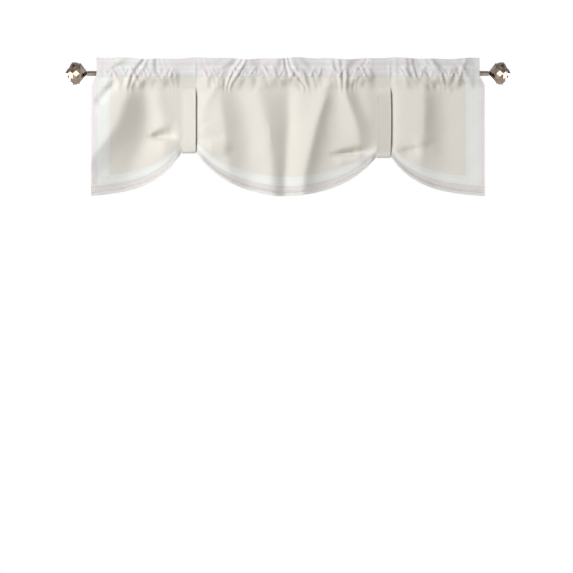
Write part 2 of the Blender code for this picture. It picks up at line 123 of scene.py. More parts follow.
STRAP_MIDDLES = (-0.3275, 0.3155)
STRAP_WIDTH = 0.045
STRAP_LIFTS = (0.146, 0.131)
LIFT_LENGTH = (0.095, 0.115)
LIFT_REACH = (0.310, 0.270)
print(f"rod {2000 * ROD_RADIUS:.1f} mm thick, cloth from {HEADER_TOP:.3f} to {HEM_BOTTOM:.3f}, "
      f"{BODY_WIDTH:.3f} m wide")

# %% [markdown]
# The hung cloth as a height field
#
# Real folds could come from a cloth simulation, but a simulation can't be told where each fold goes. Here
# every fold has a place, so the cloth is a height field instead: a point of the hung cloth is given by
# its place across and its height, and a sum of simple functions says how far it stands out towards the
# room. The first function is an eased step. The second is a broken line from trough to crest to trough
# with rounded corners, along lines that slant down the cloth.

# %% Eased steps and slanting fold lines
FOLD_HEIGHTS = (-0.343, -0.187, -0.046)
FOLD_SHIFTS = (-0.040, -0.020, 0.0, 0.020, 0.040)


def smooth_step(value):
    """Runs from 0 to 1 as value does, and leaves and arrives level."""
    value = np.clip(value, 0, 1)
    return value * value * (3 - 2 * value)


def at_height(z, low_mid_top):
    """A value given low, half way and high on the cloth, read along straight lines between them.

    It is the mean of five readings a little apart, which rounds the bend half way.
    """
    return sum(np.interp(z + shift, FOLD_HEIGHTS, low_mid_top) for shift in FOLD_SHIFTS) / len(FOLD_SHIFTS)


def broken_line(x, z, lines):
    """A broken line from fold line to fold line, with each corner rounded.

    It starts at the first line's height with the first stretch's slope. Each corner then adds its change
    of slope, times its rounding, times the logarithm of 1 + e to the power of (distance / rounding).
    """
    places = [at_height(z, line[0]) for line in lines]
    heights = [at_height(z, line[1]) for line in lines]
    slopes = [(heights[k + 1] - heights[k]) / (places[k + 1] - places[k]) for k in range(len(lines) - 1)]
    out = heights[0] + slopes[0] * (x - places[0])
    for k in range(1, len(slopes)):
        rounding = lines[k][2]
        out = out + (slopes[k] - slopes[k - 1]) * rounding * np.logaddexp(0, (x - places[k]) / rounding)
    return out


print("fold lines are given at the heights", FOLD_HEIGHTS)

# %% [markdown]
# A crease or a roll is a ridge along a short straight line. Its height changes along the line, and
# falls away to both sides, and past both ends, as a bell curve of the distance. A fold that throws a
# shade beside itself is steep on one side only, so the two sides have widths of their own.

# %% Ridges along short lines
def ridge(x, z, start, end, heights, widths):
    """Height along the line, times e to the power of minus (distance / width) squared.

    Seen along the line, the first two widths hold at the start and the end of its left side, and the
    third holds on its right side and past both ends.
    """
    run = np.array(end) - np.array(start)
    length = np.hypot(*run)
    forward = ((x - start[0]) * run[0] + (z - start[1]) * run[1]) / length
    sideways = ((z - start[1]) * run[0] - (x - start[0]) * run[1]) / length
    along = np.clip(forward / length, 0, 1)
    width = np.where(sideways > 0, widths[0] + (widths[1] - widths[0]) * along, widths[2])
    height = np.interp(along, np.linspace(0, 1, len(heights)), heights)
    return height * np.exp(-((forward - along * length) / widths[2]) ** 2 - (sideways / width) ** 2)


share_aside = float(ridge(0.5, 0.5, (0, 0), (0, 1), (1, 1), (1, 1, 1)))
print(f"half a width beside its line a ridge has {share_aside:.2f} of its height")

# %% [markdown]
# The straps draw the hem up in an arch on each side and hold the cloth behind them flat. So the folds
# need to know how far away the nearest strap is and how high the hem hangs. No cloth is quite even
# either, and a sum of sine waves in seeded directions adds a little unevenness.

# %% Straps, hem and unevenness
def beside_strap(x):
    """Distance across the cloth from the nearest strap's edge, and 0 behind the strap."""
    gaps = [np.abs(x - middle) - STRAP_WIDTH / 2 for middle in STRAP_MIDDLES]
    return np.maximum(np.minimum(*gaps), 0)


def hem_height(x):
    """Height of the hem: level, and drawn up to each strap.

    The lift falls off as e to the power of minus the distance from the strap over a length, less what
    that is at the reach, so it ends there. Both differ between a strap's outer and inner side.
    """
    height = HEM_BOTTOM + CLOTH / 2
    for middle, lift, outwards in zip(STRAP_MIDDLES, STRAP_LIFTS, (-1, 1)):
        beside = np.maximum(np.abs(x - middle) - STRAP_WIDTH / 2, 0)
        outer = (x - middle) * outwards > 0
        length = np.where(outer, *LIFT_LENGTH)
        reach = np.where(outer, *LIFT_REACH)
        rest = np.exp(-reach / length)
        height = height + lift * (np.exp(-np.minimum(beside, reach) / length) - rest) / (1 - rest)
    return height


def waves(x, z, seed, count, longest, height):
    """Slow unevenness: a sum of plane sine waves with seeded directions and lengths.

    A wave is from 0.3 of the longest length to all of it long.
    """
    draw = np.random.default_rng(seed)
    out = np.zeros(np.broadcast(x, z).shape)
    for _ in range(count):
        turn, start = draw.uniform(0, 2 * math.pi, 2)
        length = longest * draw.uniform(0.3, 1.0)
        out = out + np.sin(2 * math.pi * (x * math.cos(turn) + z * math.sin(turn)) / length + start)
    return out * height / math.sqrt(count)


print("hem", [round(float(hem_height(np.array(v))), 3) for v in (-0.65, -0.327, 0.0, 0.316, 0.65)])

# %% [markdown]
# Folds of the swags
#
# Each line below follows one crest or one trough down the cloth: its place across at three heights, low,
# half way and high, how far it stands out there, and how far its corner is rounded. A number below
# nothing lies behind the plane of the seam. Most crests are rounded little and most troughs more, and
# many lines slant, because the cloth that the straps lift pulls them aside. Behind a strap the cloth is
# flat.

# %% Fold lines of the swags
SWAG_LINES = [
    ((-0.760, -0.650, -0.650), (0.036, 0.041, 0.026), 0.010),
    ((-0.700, -0.572, -0.521), (0.037, 0.043, 0.032), 0.006),
    ((-0.532, -0.466, -0.470), (-0.002, -0.013, 0.000), 0.010),
    ((-0.492, -0.442, -0.460), (-0.004, -0.013, -0.001), 0.012),
    ((-0.400, -0.405, -0.442), (0.006, 0.007, 0.013), 0.010),
    ((-0.372, -0.378, -0.415), (0.003, 0.004, 0.004), 0.010),
    ((-0.353, -0.353, -0.353), (0.000, 0.000, 0.000), 0.003),
    ((-0.303, -0.303, -0.303), (0.000, 0.000, 0.000), 0.002),
    ((-0.284, -0.286, -0.282), (0.005, 0.016, 0.010), 0.006),
    ((-0.190, -0.207, -0.226), (0.014, 0.026, 0.017), 0.005),
    ((-0.128, -0.137, -0.165), (0.000, 0.000, 0.000), 0.014),
    ((-0.045, -0.064, -0.100), (0.024, 0.025, 0.017), 0.008),
    ((-0.010, 0.002, 0.003), (0.002, -0.003, -0.003), 0.005),
    ((0.020, 0.035, 0.042), (0.016, 0.016, 0.014), 0.012),
    ((0.034, 0.050, 0.072), (0.021, 0.020, 0.010), 0.010),
    ((0.051, 0.090, 0.132), (0.026, 0.031, 0.022), 0.005),
    ((0.074, 0.112, 0.144), (0.013, 0.013, 0.009), 0.012),
    ((0.105, 0.150, 0.158), (0.000, 0.000, 0.001), 0.018),
    ((0.240, 0.234, 0.182), (0.000, 0.018, 0.021), 0.004),
    ((0.282, 0.280, 0.218), (0.000, 0.000, 0.002), 0.009),
    ((0.287, 0.286, 0.250), (0.001, 0.001, 0.007), 0.009),
    ((0.291, 0.291, 0.291), (0.000, 0.000, 0.000), 0.003),
    ((0.340, 0.340, 0.340), (0.000, 0.000, 0.000), 0.002),
    ((0.362, 0.362, 0.362), (0.002, 0.009, 0.006), 0.006),
    ((0.436, 0.450, 0.452), (0.003, 0.018, 0.014), 0.005),
    ((0.462, 0.472, 0.470), (0.001, 0.005, 0.003), 0.010),
    ((0.490, 0.506, 0.502), (-0.002, -0.009, -0.006), 0.016),
    ((0.590, 0.590, 0.590), (0.003, 0.001, 0.001), 0.022),
    ((0.650, 0.650, 0.650), (0.010, 0.006, 0.003), 0.010),
]
FOLD_GROWTH = [(0.68, -0.009, 0.037), (0.32, -0.046, 0.045)]


def fold_growth(z):
    """Share of their height that the folds have: most of it at the pocket's lower stitch, and all below.

    It is a sum of two eased steps, each given as its share, the height where it starts and its run.
    """
    return sum(share * smooth_step((start - z) / run) for share, start, run in FOLD_GROWTH)


print(len(SWAG_LINES), "fold lines, which stand out up to", max(max(line[1]) for line in SWAG_LINES), "m")

# %% [markdown]
# Cloth lifted by the straps
#
# The spare length of the cloth at a strap has to go somewhere. It tucks back into a crease above a fat
# roll, and both run out to the sides and end in a round nose. Creases and rolls are the ridges from
# above, with heights below nothing for a crease. A few more of them are small bends further away.

# %% Creases and rolls beside the straps
RIDGES = [
    ((-0.620, -0.088), (-0.578, -0.040), (-0.006, -0.011), (0.014, 0.014, 0.014)),
    ((-0.452, -0.207), (-0.368, -0.208), (-0.003, -0.018, -0.023, -0.018, -0.004), (0.008, 0.036, 0.011)),
    ((-0.438, -0.236), (-0.376, -0.248), (0.003, 0.006, 0.004), (0.014, 0.016, 0.034)),
    ((-0.290, -0.141), (-0.238, -0.042), (0.001, 0.004), (0.014, 0.016, 0.014)),
    ((-0.293, -0.174), (-0.243, -0.147), (-0.003, -0.001), (0.014, 0.014, 0.010)),
    ((-0.288, -0.218), (-0.222, -0.208), (-0.003, -0.002), (0.018, 0.014, 0.010)),
    ((-0.284, -0.240), (-0.219, -0.247), (0.004, 0.009, 0.009), (0.024, 0.024, 0.024)),
    ((0.152, -0.266), (0.276, -0.258), (-0.004, -0.015, -0.020, -0.017, -0.004), (0.008, 0.022, 0.010)),
    ((0.362, -0.262), (0.448, -0.246), (-0.003, -0.008, -0.010, -0.006), (0.012, 0.016, 0.026)),
    ((0.176, -0.287), (0.280, -0.275), (0.004, 0.004), (0.010, 0.010, 0.016)),
    ((0.449, -0.200), (0.438, -0.242), (0.000, 0.008), (0.060, 0.060, 0.028)),
    ((-0.061, -0.168), (-0.056, -0.232), (0.0004, 0.0014, 0.0004), (0.005, 0.005, 0.005)),
]
STRAP_EASE = 0.020
PLEAT_SHARE = 0.9
PLEAT_FADE = 0.030
FLARE = 0.004
FLARE_HEIGHT = 0.024
DEEPEST = 0.030


def swag_depth(x, z):
    """How far the cloth under the pocket stands out: folds, creases, rolls, pleats and unevenness.

    The pocket's small gathers fade out as pleats, and the hem flares a little. In the pocket nothing
    lies behind the plane of the seam, and below it nothing lies further behind than the deepest.
    """
    free = smooth_step(beside_strap(x) / STRAP_EASE)
    below = smooth_step((POCKET_STITCH - z) / PLEAT_FADE)
    out = broken_line(x, z, SWAG_LINES) * fold_growth(z)
    for start, end, heights, widths in RIDGES:
        out = out + free * ridge(x, z, start, end, heights, widths)
    pleats = PLEAT_SHARE * small_gathers(slanted(x, z)) * (1 - below)
    flare = FLARE * smooth_step((hem_height(x) + FLARE_HEIGHT - z) / FLARE_HEIGHT)
    uneven = waves(x, z, seed=5, count=10, longest=0.22, height=0.0005)
    out = out + free * (pleats + below * (flare + uneven))
    return np.where(z > POCKET_STITCH, np.maximum(out, 0), np.maximum(out, -DEEPEST * below))


print(len(RIDGES), "creases and rolls, from", min(min(row[2]) for row in RIDGES), "to",
      max(max(row[2]) for row in RIDGES), "m")

# %% [markdown]
# Frill and pocket
#
# Above the rod two layers of cloth stand up as a frill and sway together. Over the rod they part and
# press against it, and each gather there is a bulge outwards. The gathers lean to the left in one place
# and to the right in the next. The large ones are fold lines with places of their own, each its place
# along the rod and how far it stands out, and the small ones between them are a sine.

# %% Gathers of the frill
FRILL_FOLDS = [(-0.632, 0.001), (-0.604, 0.003), (-0.560, 0.001), (-0.508, 0.007), (-0.485, -0.004),
               (-0.459, 0.007), (-0.439, -0.004), (-0.400, 0.000), (-0.352, 0.000), (-0.303, 0.000),
               (-0.228, 0.005), (-0.198, -0.002), (-0.142, 0.006), (-0.112, -0.004), (-0.033, 0.006),
               (-0.003, -0.005), (0.050, 0.006), (0.079, -0.004), (0.185, 0.008), (0.218, -0.005),
               (0.258, 0.002), (0.291, 0.000), (0.340, 0.000), (0.406, 0.006), (0.429, -0.005),
               (0.495, 0.007), (0.531, -0.005), (0.574, 0.005), (0.600, -0.003), (0.632, 0.001)]
FRILL_ROUNDING = 0.007
FRILL_LINES = [((place,) * 3, (height,) * 3, FRILL_ROUNDING) for place, height in FRILL_FOLDS]
CALM_REACH = 0.040
GATHER_PITCH = 0.031
GATHER_HEIGHT = 0.0011
GATHER_END = 0.610
GATHER_FADE = 0.050
FRILL_FOOT = 0.008


def calm(x):
    """0 behind and above a strap, where the cloth is calm, and 1 away from it."""
    return smooth_step(beside_strap(x) / CALM_REACH)


def swing(x, length, start=0.0):
    """A sine along the rod with the given wavelength; start is its angle at the middle."""
    return np.sin(2 * math.pi * x / length + start)


def small_gathers(x):
    """Narrow pleats about 30 mm apart: a sine whose phase and height drift along the rod."""
    phase = 2 * math.pi * x / GATHER_PITCH + 1.6 * swing(x, 0.21) + 1.1 * swing(x, 0.083)
    strength = 0.6 + 0.4 * swing(x, 0.17, 1.0)
    inner = smooth_step((GATHER_END - np.abs(x)) / GATHER_FADE)
    return GATHER_HEIGHT * strength * calm(x) * inner * (1 + np.sin(phase))


def slanted(x, z):
    """Where a gather's line starts: it leans by a share of the height, which drifts along the rod."""
    lean = 0.55 * swing(x, 0.39, 0.6) + 0.25 * swing(x, 0.147)
    return x + calm(x) * lean * (np.maximum(z, POCKET_STITCH) - HEADER_STITCH)


def frill_share(z):
    """1 in the frill, except close to its stitches, and 0 from the rod's top down."""
    return smooth_step((z - TOUCH_HEIGHT) / (HEADER_STITCH + FRILL_FOOT - TOUCH_HEIGHT))


def ruffle(x, z):
    """How far both layers of the frill sway towards the room.

    The fold lines have 0.45 of their height at the stitches and all of it at the top. The small gathers
    are made by the stitches, so they have all of theirs down there and 0.3 of it at the top.
    """
    above = np.clip((z - HEADER_STITCH) / FRILL, 0, 1)
    sway = broken_line(slanted(x, z), z, FRILL_LINES) * (0.45 + 0.55 * above)
    return frill_share(z) * (sway + small_gathers(slanted(x, z)) * (1 - 0.7 * above))


print(len(FRILL_LINES), "fold lines along the frill")

# %% [markdown]
# Over the rod the cloth is pressed into sharp creases. The sharpest have places of their own: a start, an
# end, a height and a width. Between them short creases cross the rod in a zigzag. They are drawn with a
# seeded random generator, so each run gives the same ones. Under the rod the slack of the pocket hangs in
# broad folds.

# %% Creases over the rod and folds under it
CREASE_STEP = 0.0165
SLACK_STEP = 0.036
HEADER_CREASES = [
    ((-0.551, 0.044), (-0.611, 0.008), 0.005, 0.010), ((-0.528, 0.015), (-0.553, -0.016), 0.005, 0.005),
    ((-0.518, 0.015), (-0.482, -0.048), 0.006, 0.006), ((-0.472, 0.024), (-0.492, -0.017), 0.005, 0.005),
    ((-0.472, 0.024), (-0.458, 0.000), 0.004, 0.005), ((-0.446, 0.008), (-0.408, -0.042), 0.005, 0.007),
    ((-0.395, 0.012), (-0.420, -0.022), 0.004, 0.006), ((-0.312, 0.010), (-0.297, 0.006), 0.003, 0.005),
    ((-0.195, 0.038), (-0.261, -0.014), 0.004, 0.009), ((-0.206, 0.020), (-0.203, -0.010), -0.003, 0.007),
    ((-0.152, 0.020), (-0.184, -0.028), 0.006, 0.007), ((-0.086, 0.016), (-0.072, -0.012), -0.005, 0.005),
    ((-0.048, 0.010), (-0.020, -0.038), 0.005, 0.006), ((0.022, 0.013), (0.000, -0.030), 0.006, 0.006),
    ((0.092, 0.047), (0.111, 0.028), -0.005, 0.006), ((0.112, 0.030), (0.135, -0.016), -0.004, 0.006),
    ((0.148, 0.020), (0.180, -0.026), 0.006, 0.006), ((0.184, 0.018), (0.158, -0.026), 0.005, 0.005),
    ((0.211, 0.018), (0.257, 0.004), 0.005, 0.006), ((0.232, 0.002), (0.212, -0.040), 0.005, 0.006),
    ((0.266, 0.016), (0.284, -0.016), 0.004, 0.006), ((0.385, 0.016), (0.420, -0.036), 0.005, 0.006),
    ((0.450, 0.018), (0.428, -0.026), 0.005, 0.006), ((0.478, 0.030), (0.514, -0.030), 0.006, 0.007),
    ((0.552, 0.014), (0.528, -0.034), 0.005, 0.006), ((0.570, 0.026), (0.600, -0.014), 0.005, 0.007),
    ((-0.306, 0.030), (-0.306, -0.040), 0.002, 0.003), ((0.335, 0.030), (0.336, -0.040), 0.002, 0.003),
]


def creases(x, z):
    """The zigzag across the rod, and the creases with places of their own.

    The zigzag's ridges follow each other along the rod, and each leans the other way than the last.
    Where ridges meet, the highest counts. One with a height below nothing is cut in instead.
    """
    draw = np.random.default_rng(11)
    out = np.zeros(np.broadcast(x, z).shape)
    for k, middle in enumerate(np.arange(-0.602, 0.602, CREASE_STEP)):
        lean = (-1) ** k * draw.uniform(0.007, 0.015)
        top, foot = draw.uniform(0.008, 0.026), draw.uniform(-0.030, -0.014)
        height, width = draw.uniform(0.0020, 0.0052), draw.uniform(0.0042, 0.0062)
        shift = draw.uniform(-0.005, 0.005)
        start, end = (middle + shift - lean, top), (middle + shift + lean, foot)
        out = np.maximum(out, ridge(x, z, start, end, (0.5 * height, height, 0.5 * height, 0), (width,) * 3))
    out = out * calm(x)
    for start, end, height, width in HEADER_CREASES:
        crease = ridge(x, z, start, end, (0.6 * height, height, 0.5 * height, 0), (width, width, 1.5 * width))
        out = np.where(crease > 0, np.maximum(out, crease), out + crease)
    return out


def slack_folds(x, z):
    """Broad folds of the slack under the rod, gentle on the left side and steep and shaded on the right.

    Each is drawn from its foot to its top, so that its wide side is the left one.
    """
    draw = np.random.default_rng(23)
    out = np.zeros(np.broadcast(x, z).shape)
    for middle in np.arange(-0.590, 0.600, SLACK_STEP):
        lean, shift = draw.uniform(-0.016, 0.016), draw.uniform(-0.006, 0.006)
        height = draw.uniform(0.0018, 0.0036)
        top, foot = (middle + shift, -0.016), (middle + shift + lean, -0.056)
        out = np.maximum(out, ridge(x, z, foot, top, (0, height, 0.8 * height), (0.022, 0.014, 0.010)))
    return out * calm(x)


print(len(HEADER_CREASES), "creases with places of their own")

# %% [markdown]
# The pocket's front layer stands off the rod by the sum of all these, and its slack sags under the rod.
# Behind that lie the two layers as they would be without a gather: face to face in the frill, apart round
# the rod, and face to face again at the lower stitch.

# %% Pocket around the rod
SAG_HEIGHT = 0.0080
SAG_MIDDLE = -0.014
SAG_WIDTH = 0.019
FRONT_SHARE = 0.55
BULGE_END = -0.024
BULGE_FADE = 0.030


def pocket_bulge(x, z):
    """How far the pocket stands off the rod: gathers, creases, the slack's folds and a sag.

    Of the frill's fold lines it takes a share of what points outwards. The sag is a bell curve of the
    height, with its middle under the rod's axis.
    """
    low = 1 - frill_share(z)
    fade = 1 - smooth_step((BULGE_END - z) / BULGE_FADE)
    large = np.maximum(broken_line(slanted(x, z), z, FRILL_LINES), 0)
    swell = FRONT_SHARE * large + small_gathers(slanted(x, z))
    sag = SAG_HEIGHT * np.exp(-((z - SAG_MIDDLE) / SAG_WIDTH) ** 2) * calm(x)
    return np.maximum(low * fade * swell + creases(x, z) + slack_folds(x, z) + sag, 0)


def half_apart(z):
    """Half the distance between the two layers at a height.

    From the top down: a half round fold, two layers face to face, a straight line from the header stitch
    to the rod, the rod's own round side, and a slow curve that closes the pocket at its lower stitch.
    """
    from_top = np.clip(HEADER_TOP - z, 0, HALF_GAP)
    frill = np.sqrt(HALF_GAP ** 2 - (HALF_GAP - from_top) ** 2)
    slope = (TOUCH_SIDE - HALF_GAP) / (HEADER_STITCH - TOUCH_HEIGHT)
    over_rod = HALF_GAP + slope * (HEADER_STITCH - z)
    beside_rod = np.sqrt(np.maximum(WRAP_RADIUS ** 2 - z ** 2, 0))
    closing = 0.5 + 0.5 * np.cos(math.pi * np.clip(z / POCKET_STITCH, 0, 1))
    under_rod = HALF_GAP + (WRAP_RADIUS - HALF_GAP) * closing
    parts = [z >= HEADER_STITCH, z >= TOUCH_HEIGHT, z >= 0]
    return np.select(parts, [frill, over_rod, beside_rod], under_rod)


print(f"the layers are {2 * half_apart(np.zeros(1))[0]:.4f} m apart at the rod's middle")

# %% [markdown]
# From the flat cloth to the hung cloth
#
# Every piece is cut from the same flat rectangle. A point of it has two coordinates: a, across from the
# middle, and b, down from the fold along the top. The borders hang nearly flat, and the panel between
# them takes all the gathers, so it is drawn together more.

# %% Layers of the hung cloth
TOP_DIP = 0.003
BACK_SHARE = 0.50
BACK_FADE = 0.022
SEWN_START = -0.016
SEWN_RUN = 0.030


def hung_x(a, z):
    """Across the hung cloth: the panel shrinks to what the borders leave of the width at a height."""
    widening = smooth_step(z / POCKET_STITCH)
    half = (HEADER_WIDTH + (BODY_WIDTH - HEADER_WIDTH) * widening) / 2
    border = BORDER * BORDER_SHARE
    inner = np.minimum(np.abs(a), PANEL_HALF) * (half - border) / PANEL_HALF
    outer = np.maximum(np.abs(a) - PANEL_HALF, 0) * BORDER_SHARE
    return np.sign(a) * (inner + outer)


def top_edge(x, z):
    """The frill's top isn't quite level: two slow waves, which fade out down to the header stitch."""
    above = np.clip((z - HEADER_STITCH) / FRILL, 0, 1)
    return above * (0.0022 * swing(x, 0.31, 0.8) + 0.0012 * swing(x, 0.113) - TOP_DIP)


def front_layer(a, b):
    """A point of the cloth's front layer, from the top fold down to the hem."""
    z_pocket = HEADER_TOP - b
    down = np.maximum(b - HANG_START, 0)
    x = hung_x(a, np.maximum(z_pocket, POCKET_STITCH))
    z_swag = POCKET_STITCH - (POCKET_STITCH - hem_height(x)) * down / HANG_LENGTH
    z = np.where(b < HANG_START, z_pocket, z_swag)
    out = np.where(b < HANG_START, half_apart(z), HALF_GAP)
    y = -out - ruffle(x, z) - pocket_bulge(x, z) - swag_depth(x, z)
    return np.stack([x, y, z + top_edge(x, z)], axis=-1)


def back_layer(a, b):
    """A point of the cloth's back layer, from the top fold down to the pocket's lower stitch.

    It bulges outwards over the rod, and near the lower stitch it follows the front layer, which is sewn
    to it there, with a little ease.
    """
    z = HEADER_TOP - b
    x = hung_x(a, z)
    low = 1 - frill_share(z)
    free = 1 - smooth_step((BULGE_END - z) / BACK_FADE)
    large = np.maximum(broken_line(slanted(x, z), z, FRILL_LINES), 0)
    swell = BACK_SHARE * large + small_gathers(slanted(x, z))
    sewn = smooth_step((SEWN_START - z) / SEWN_RUN)
    y = half_apart(z) - ruffle(x, z) + low * free * swell
    y = y - sewn * (pocket_bulge(x, z) + swag_depth(x, z)) + sewn * BACK_EASE
    return np.stack([x, y, z + top_edge(x, z)], axis=-1)


def header_layer(a, around):
    """A point of the folded header: around is below 0 in the front layer and above 0 in the back one."""
    return np.where((around < 0)[..., None], front_layer(a, np.abs(around)), back_layer(a, np.abs(around)))


corner = front_layer(np.array([-FLAT_WIDTH / 2]), np.array([FLAT_DROP]))[0]
print("the lower left corner hangs at", [round(float(v), 3) for v in corner])

# %% [markdown]
# A sheet with two skins
#
# Cloth seen at its edge has a thickness, so each piece is a closed shell. The grid of points is moved
# half a cloth's thickness along its normals to each side. The normals come from the differences between
# neighbours, all at once. The four rims join the skins. The flat coordinates become the UV map, and the
# distance from the cloth's outer edge becomes an attribute, because woven lines follow that edge.

# %% Sheet builder
def put_mesh(name, points, faces, smooth_angle=50):
    """Makes an object of four-cornered faces from arrays, smooth except at edges sharper than an angle."""
    mesh = bpy.data.meshes.new(name)
    mesh.vertices.add(len(points))
    mesh.vertices.foreach_set("co", points.astype(np.float32).ravel())
    mesh.loops.add(faces.size)
    mesh.loops.foreach_set("vertex_index", faces.astype(np.int32).ravel())
    mesh.polygons.add(len(faces))
    mesh.polygons.foreach_set("loop_start", np.arange(len(faces), dtype=np.int32) * faces.shape[1])
    mesh.update(calc_edges=True)
    mesh.shade_smooth()
    mesh.set_sharp_from_angle(angle=math.radians(smooth_angle))
    thing = bpy.data.objects.new(name, mesh)
    bpy.context.scene.collection.objects.link(thing)
    return thing


def grid_normals(grid):
    """Unit normals of a grid of points: the cross product of its two directions."""
    normal = np.cross(np.gradient(grid, axis=0), np.gradient(grid, axis=1))
    return normal / np.maximum(np.linalg.norm(normal, axis=-1, keepdims=True), 1e-12)


def shell_faces(rows, columns):
    """Faces of two grids of points, one skin after the other, and of the four rims between them."""
    number = np.arange(2 * rows * columns).reshape(2, rows, columns)
    top, bottom = number

    def quads(p, q, r, s):
        return np.stack([p, q, r, s], axis=-1).reshape(-1, 4)

    faces = [quads(top[:-1, :-1], top[1:, :-1], top[1:, 1:], top[:-1, 1:]),
             quads(bottom[:-1, :-1], bottom[:-1, 1:], bottom[1:, 1:], bottom[1:, :-1])]
    rims = [(top[:, 0], bottom[:, 0], False), (top[:, -1], bottom[:, -1], True),
            (top[0], bottom[0], True), (top[-1], bottom[-1], False)]
    for upper, lower, turn in rims:
        ends = (upper[:-1], lower[:-1], lower[1:], upper[1:])
        faces.append(quads(*(ends[::-1] if turn else ends)))
    return np.concatenate(faces)


def sheet(name, surface, across, down, thickness=CLOTH):
    """A closed sheet over a grid of flat coordinates, with its UV map and its distance from the edge."""
    a, b = np.meshgrid(np.asarray(across, dtype=float), np.asarray(down, dtype=float), indexing="ij")
    grid = surface(a, b)
    shift = grid_normals(grid) * thickness / 2
    points = np.stack([grid + shift, grid - shift]).reshape(-1, 3)
    thing = put_mesh(name, points, shell_faces(*a.shape))
    flat = np.tile(np.stack([a, np.abs(b)], axis=-1).reshape(-1, 2), (2, 1))
    corner = np.empty(len(thing.data.loops), dtype=np.int32)
    thing.data.loops.foreach_get("vertex_index", corner)
    thing.data.uv_layers.new(name="flat").uv.foreach_set("vector", flat[corner].astype(np.float32).ravel())
    edge = np.minimum(FLAT_WIDTH / 2 - np.abs(flat[:, 0]), np.minimum(flat[:, 1], FLAT_DROP - flat[:, 1]))
    thing.data.attributes.new("edge", "FLOAT", "POINT").data.foreach_set("value", edge.astype(np.float32))
    print(f"{name}: {len(thing.data.polygons)} faces")
    return thing


def lines_between(start, end, step):
    """Evenly spaced grid lines from start to end, no further apart than step."""
    return np.linspace(start, end, max(2, math.ceil(abs(end - start) / step) + 1))


print("a grid of 3 by 4 points makes a shell of", len(shell_faces(3, 4)), "faces")

# %% [markdown]
# Pieces of cloth
#
# The beige panel has a white border on all four sides, and outside the border a narrow woven trim. The
# header is one white band folded over along the top. Each piece stops half a seam's gap short of its
# neighbour, so no two of them overlap. The grid is finer where the gathers and pleats are.

# %% Header, panel, borders and trims
ACROSS_STEP = 0.0034
DOWN_STEP = 0.0036
HEADER_ACROSS_STEP = 0.0027
HEADER_FRONT_STEP = 0.0022
HEADER_BACK_STEP = 0.0040
PLEAT_STEP = 0.0024
SIDE_TRIM_STEP = 0.0020
HEM_TRIM_STEP = 0.0030
SEAM = SEAM_GAP / 2

fold_rows = HALF_GAP * (1 - np.cos(np.linspace(0, math.pi / 2, 4)))
front_rows = np.concatenate([fold_rows[1:], lines_between(0.003, BORDER - SEAM, HEADER_FRONT_STEP)])
back_rows = np.concatenate([fold_rows, lines_between(0.004, HANG_START, HEADER_BACK_STEP)])
header_columns = lines_between(-FLAT_WIDTH / 2, FLAT_WIDTH / 2, HEADER_ACROSS_STEP)
header = sheet("header_cloth", header_layer, header_columns, np.concatenate([-front_rows[::-1], back_rows]))

panel_columns = lines_between(SEAM - PANEL_HALF, PANEL_HALF - SEAM, ACROSS_STEP)
panel_rows = np.concatenate([lines_between(BORDER + SEAM, HANG_START, PLEAT_STEP)[:-1],
                             lines_between(HANG_START, HEM_TOP - SEAM, DOWN_STEP)])
panel = sheet("panel_cloth", front_layer, panel_columns, panel_rows)

bands, trims = [], []
for side, facing in (("left", -1), ("right", 1)):
    band = sorted((facing * (PANEL_HALF + SEAM), facing * (TRIM_INNER - SEAM)))
    edge = sorted((facing * (TRIM_INNER + SEAM), facing * FLAT_WIDTH / 2))
    edge_rows = np.concatenate([panel_rows, lines_between(HEM_TOP, HEM_TRIM_TOP - SEAM, DOWN_STEP)[1:]])
    bands.append(sheet("side_border_" + side, front_layer, lines_between(*band, ACROSS_STEP), panel_rows))
    trims.append(sheet("side_edging_" + side, front_layer, lines_between(*edge, SIDE_TRIM_STEP), edge_rows))

hem_columns = lines_between(SEAM - TRIM_INNER, TRIM_INNER - SEAM, ACROSS_STEP)
hem_rows = lines_between(HEM_TOP + SEAM, HEM_TRIM_TOP - SEAM, DOWN_STEP)
hem_band = sheet("hem_border", front_layer, hem_columns, hem_rows)
trim_columns = lines_between(-FLAT_WIDTH / 2, FLAT_WIDTH / 2, ACROSS_STEP)
trim_rows = lines_between(HEM_TRIM_TOP + SEAM, FLAT_DROP, HEM_TRIM_STEP)
hem_trim = sheet("hem_edging", front_layer, trim_columns, trim_rows)

# %% [markdown]
# Straps
#
# Each strap is a flat band, sewn into the pocket's lower stitch in front, carried down over the cloth,
# under its hem and up behind it to the same stitch. Its side view is a short list of points, made smooth
# by a curve through them.

# %% Side view of a strap
STRAP_CLOTH = 0.0014
STRAP_STAND = 0.0012
STRAP_BACK = 0.029
STRAP_ROWS = 160


def strap_route(middle):
    """Side view of a strap as distance behind the seam's plane and height, from front top to back top."""
    hem = float(hem_height(np.array(middle)))
    front = -HALF_GAP - CLOTH / 2 - STRAP_CLOTH / 2 - STRAP_STAND
    under = hem - 0.0035
    return np.array([(front, POCKET_STITCH - 0.001), (front, -0.12), (front, -0.20), (front, hem + 0.012),
                     (front * 0.8, hem - 0.001), (0.0, under), (STRAP_BACK * 0.45, under + 0.001),
                     (STRAP_BACK * 0.9, hem + 0.012), (STRAP_BACK, -0.215), (STRAP_BACK * 0.8, -0.165),
                     (HALF_GAP + 0.0022, POCKET_STITCH - 0.001)])


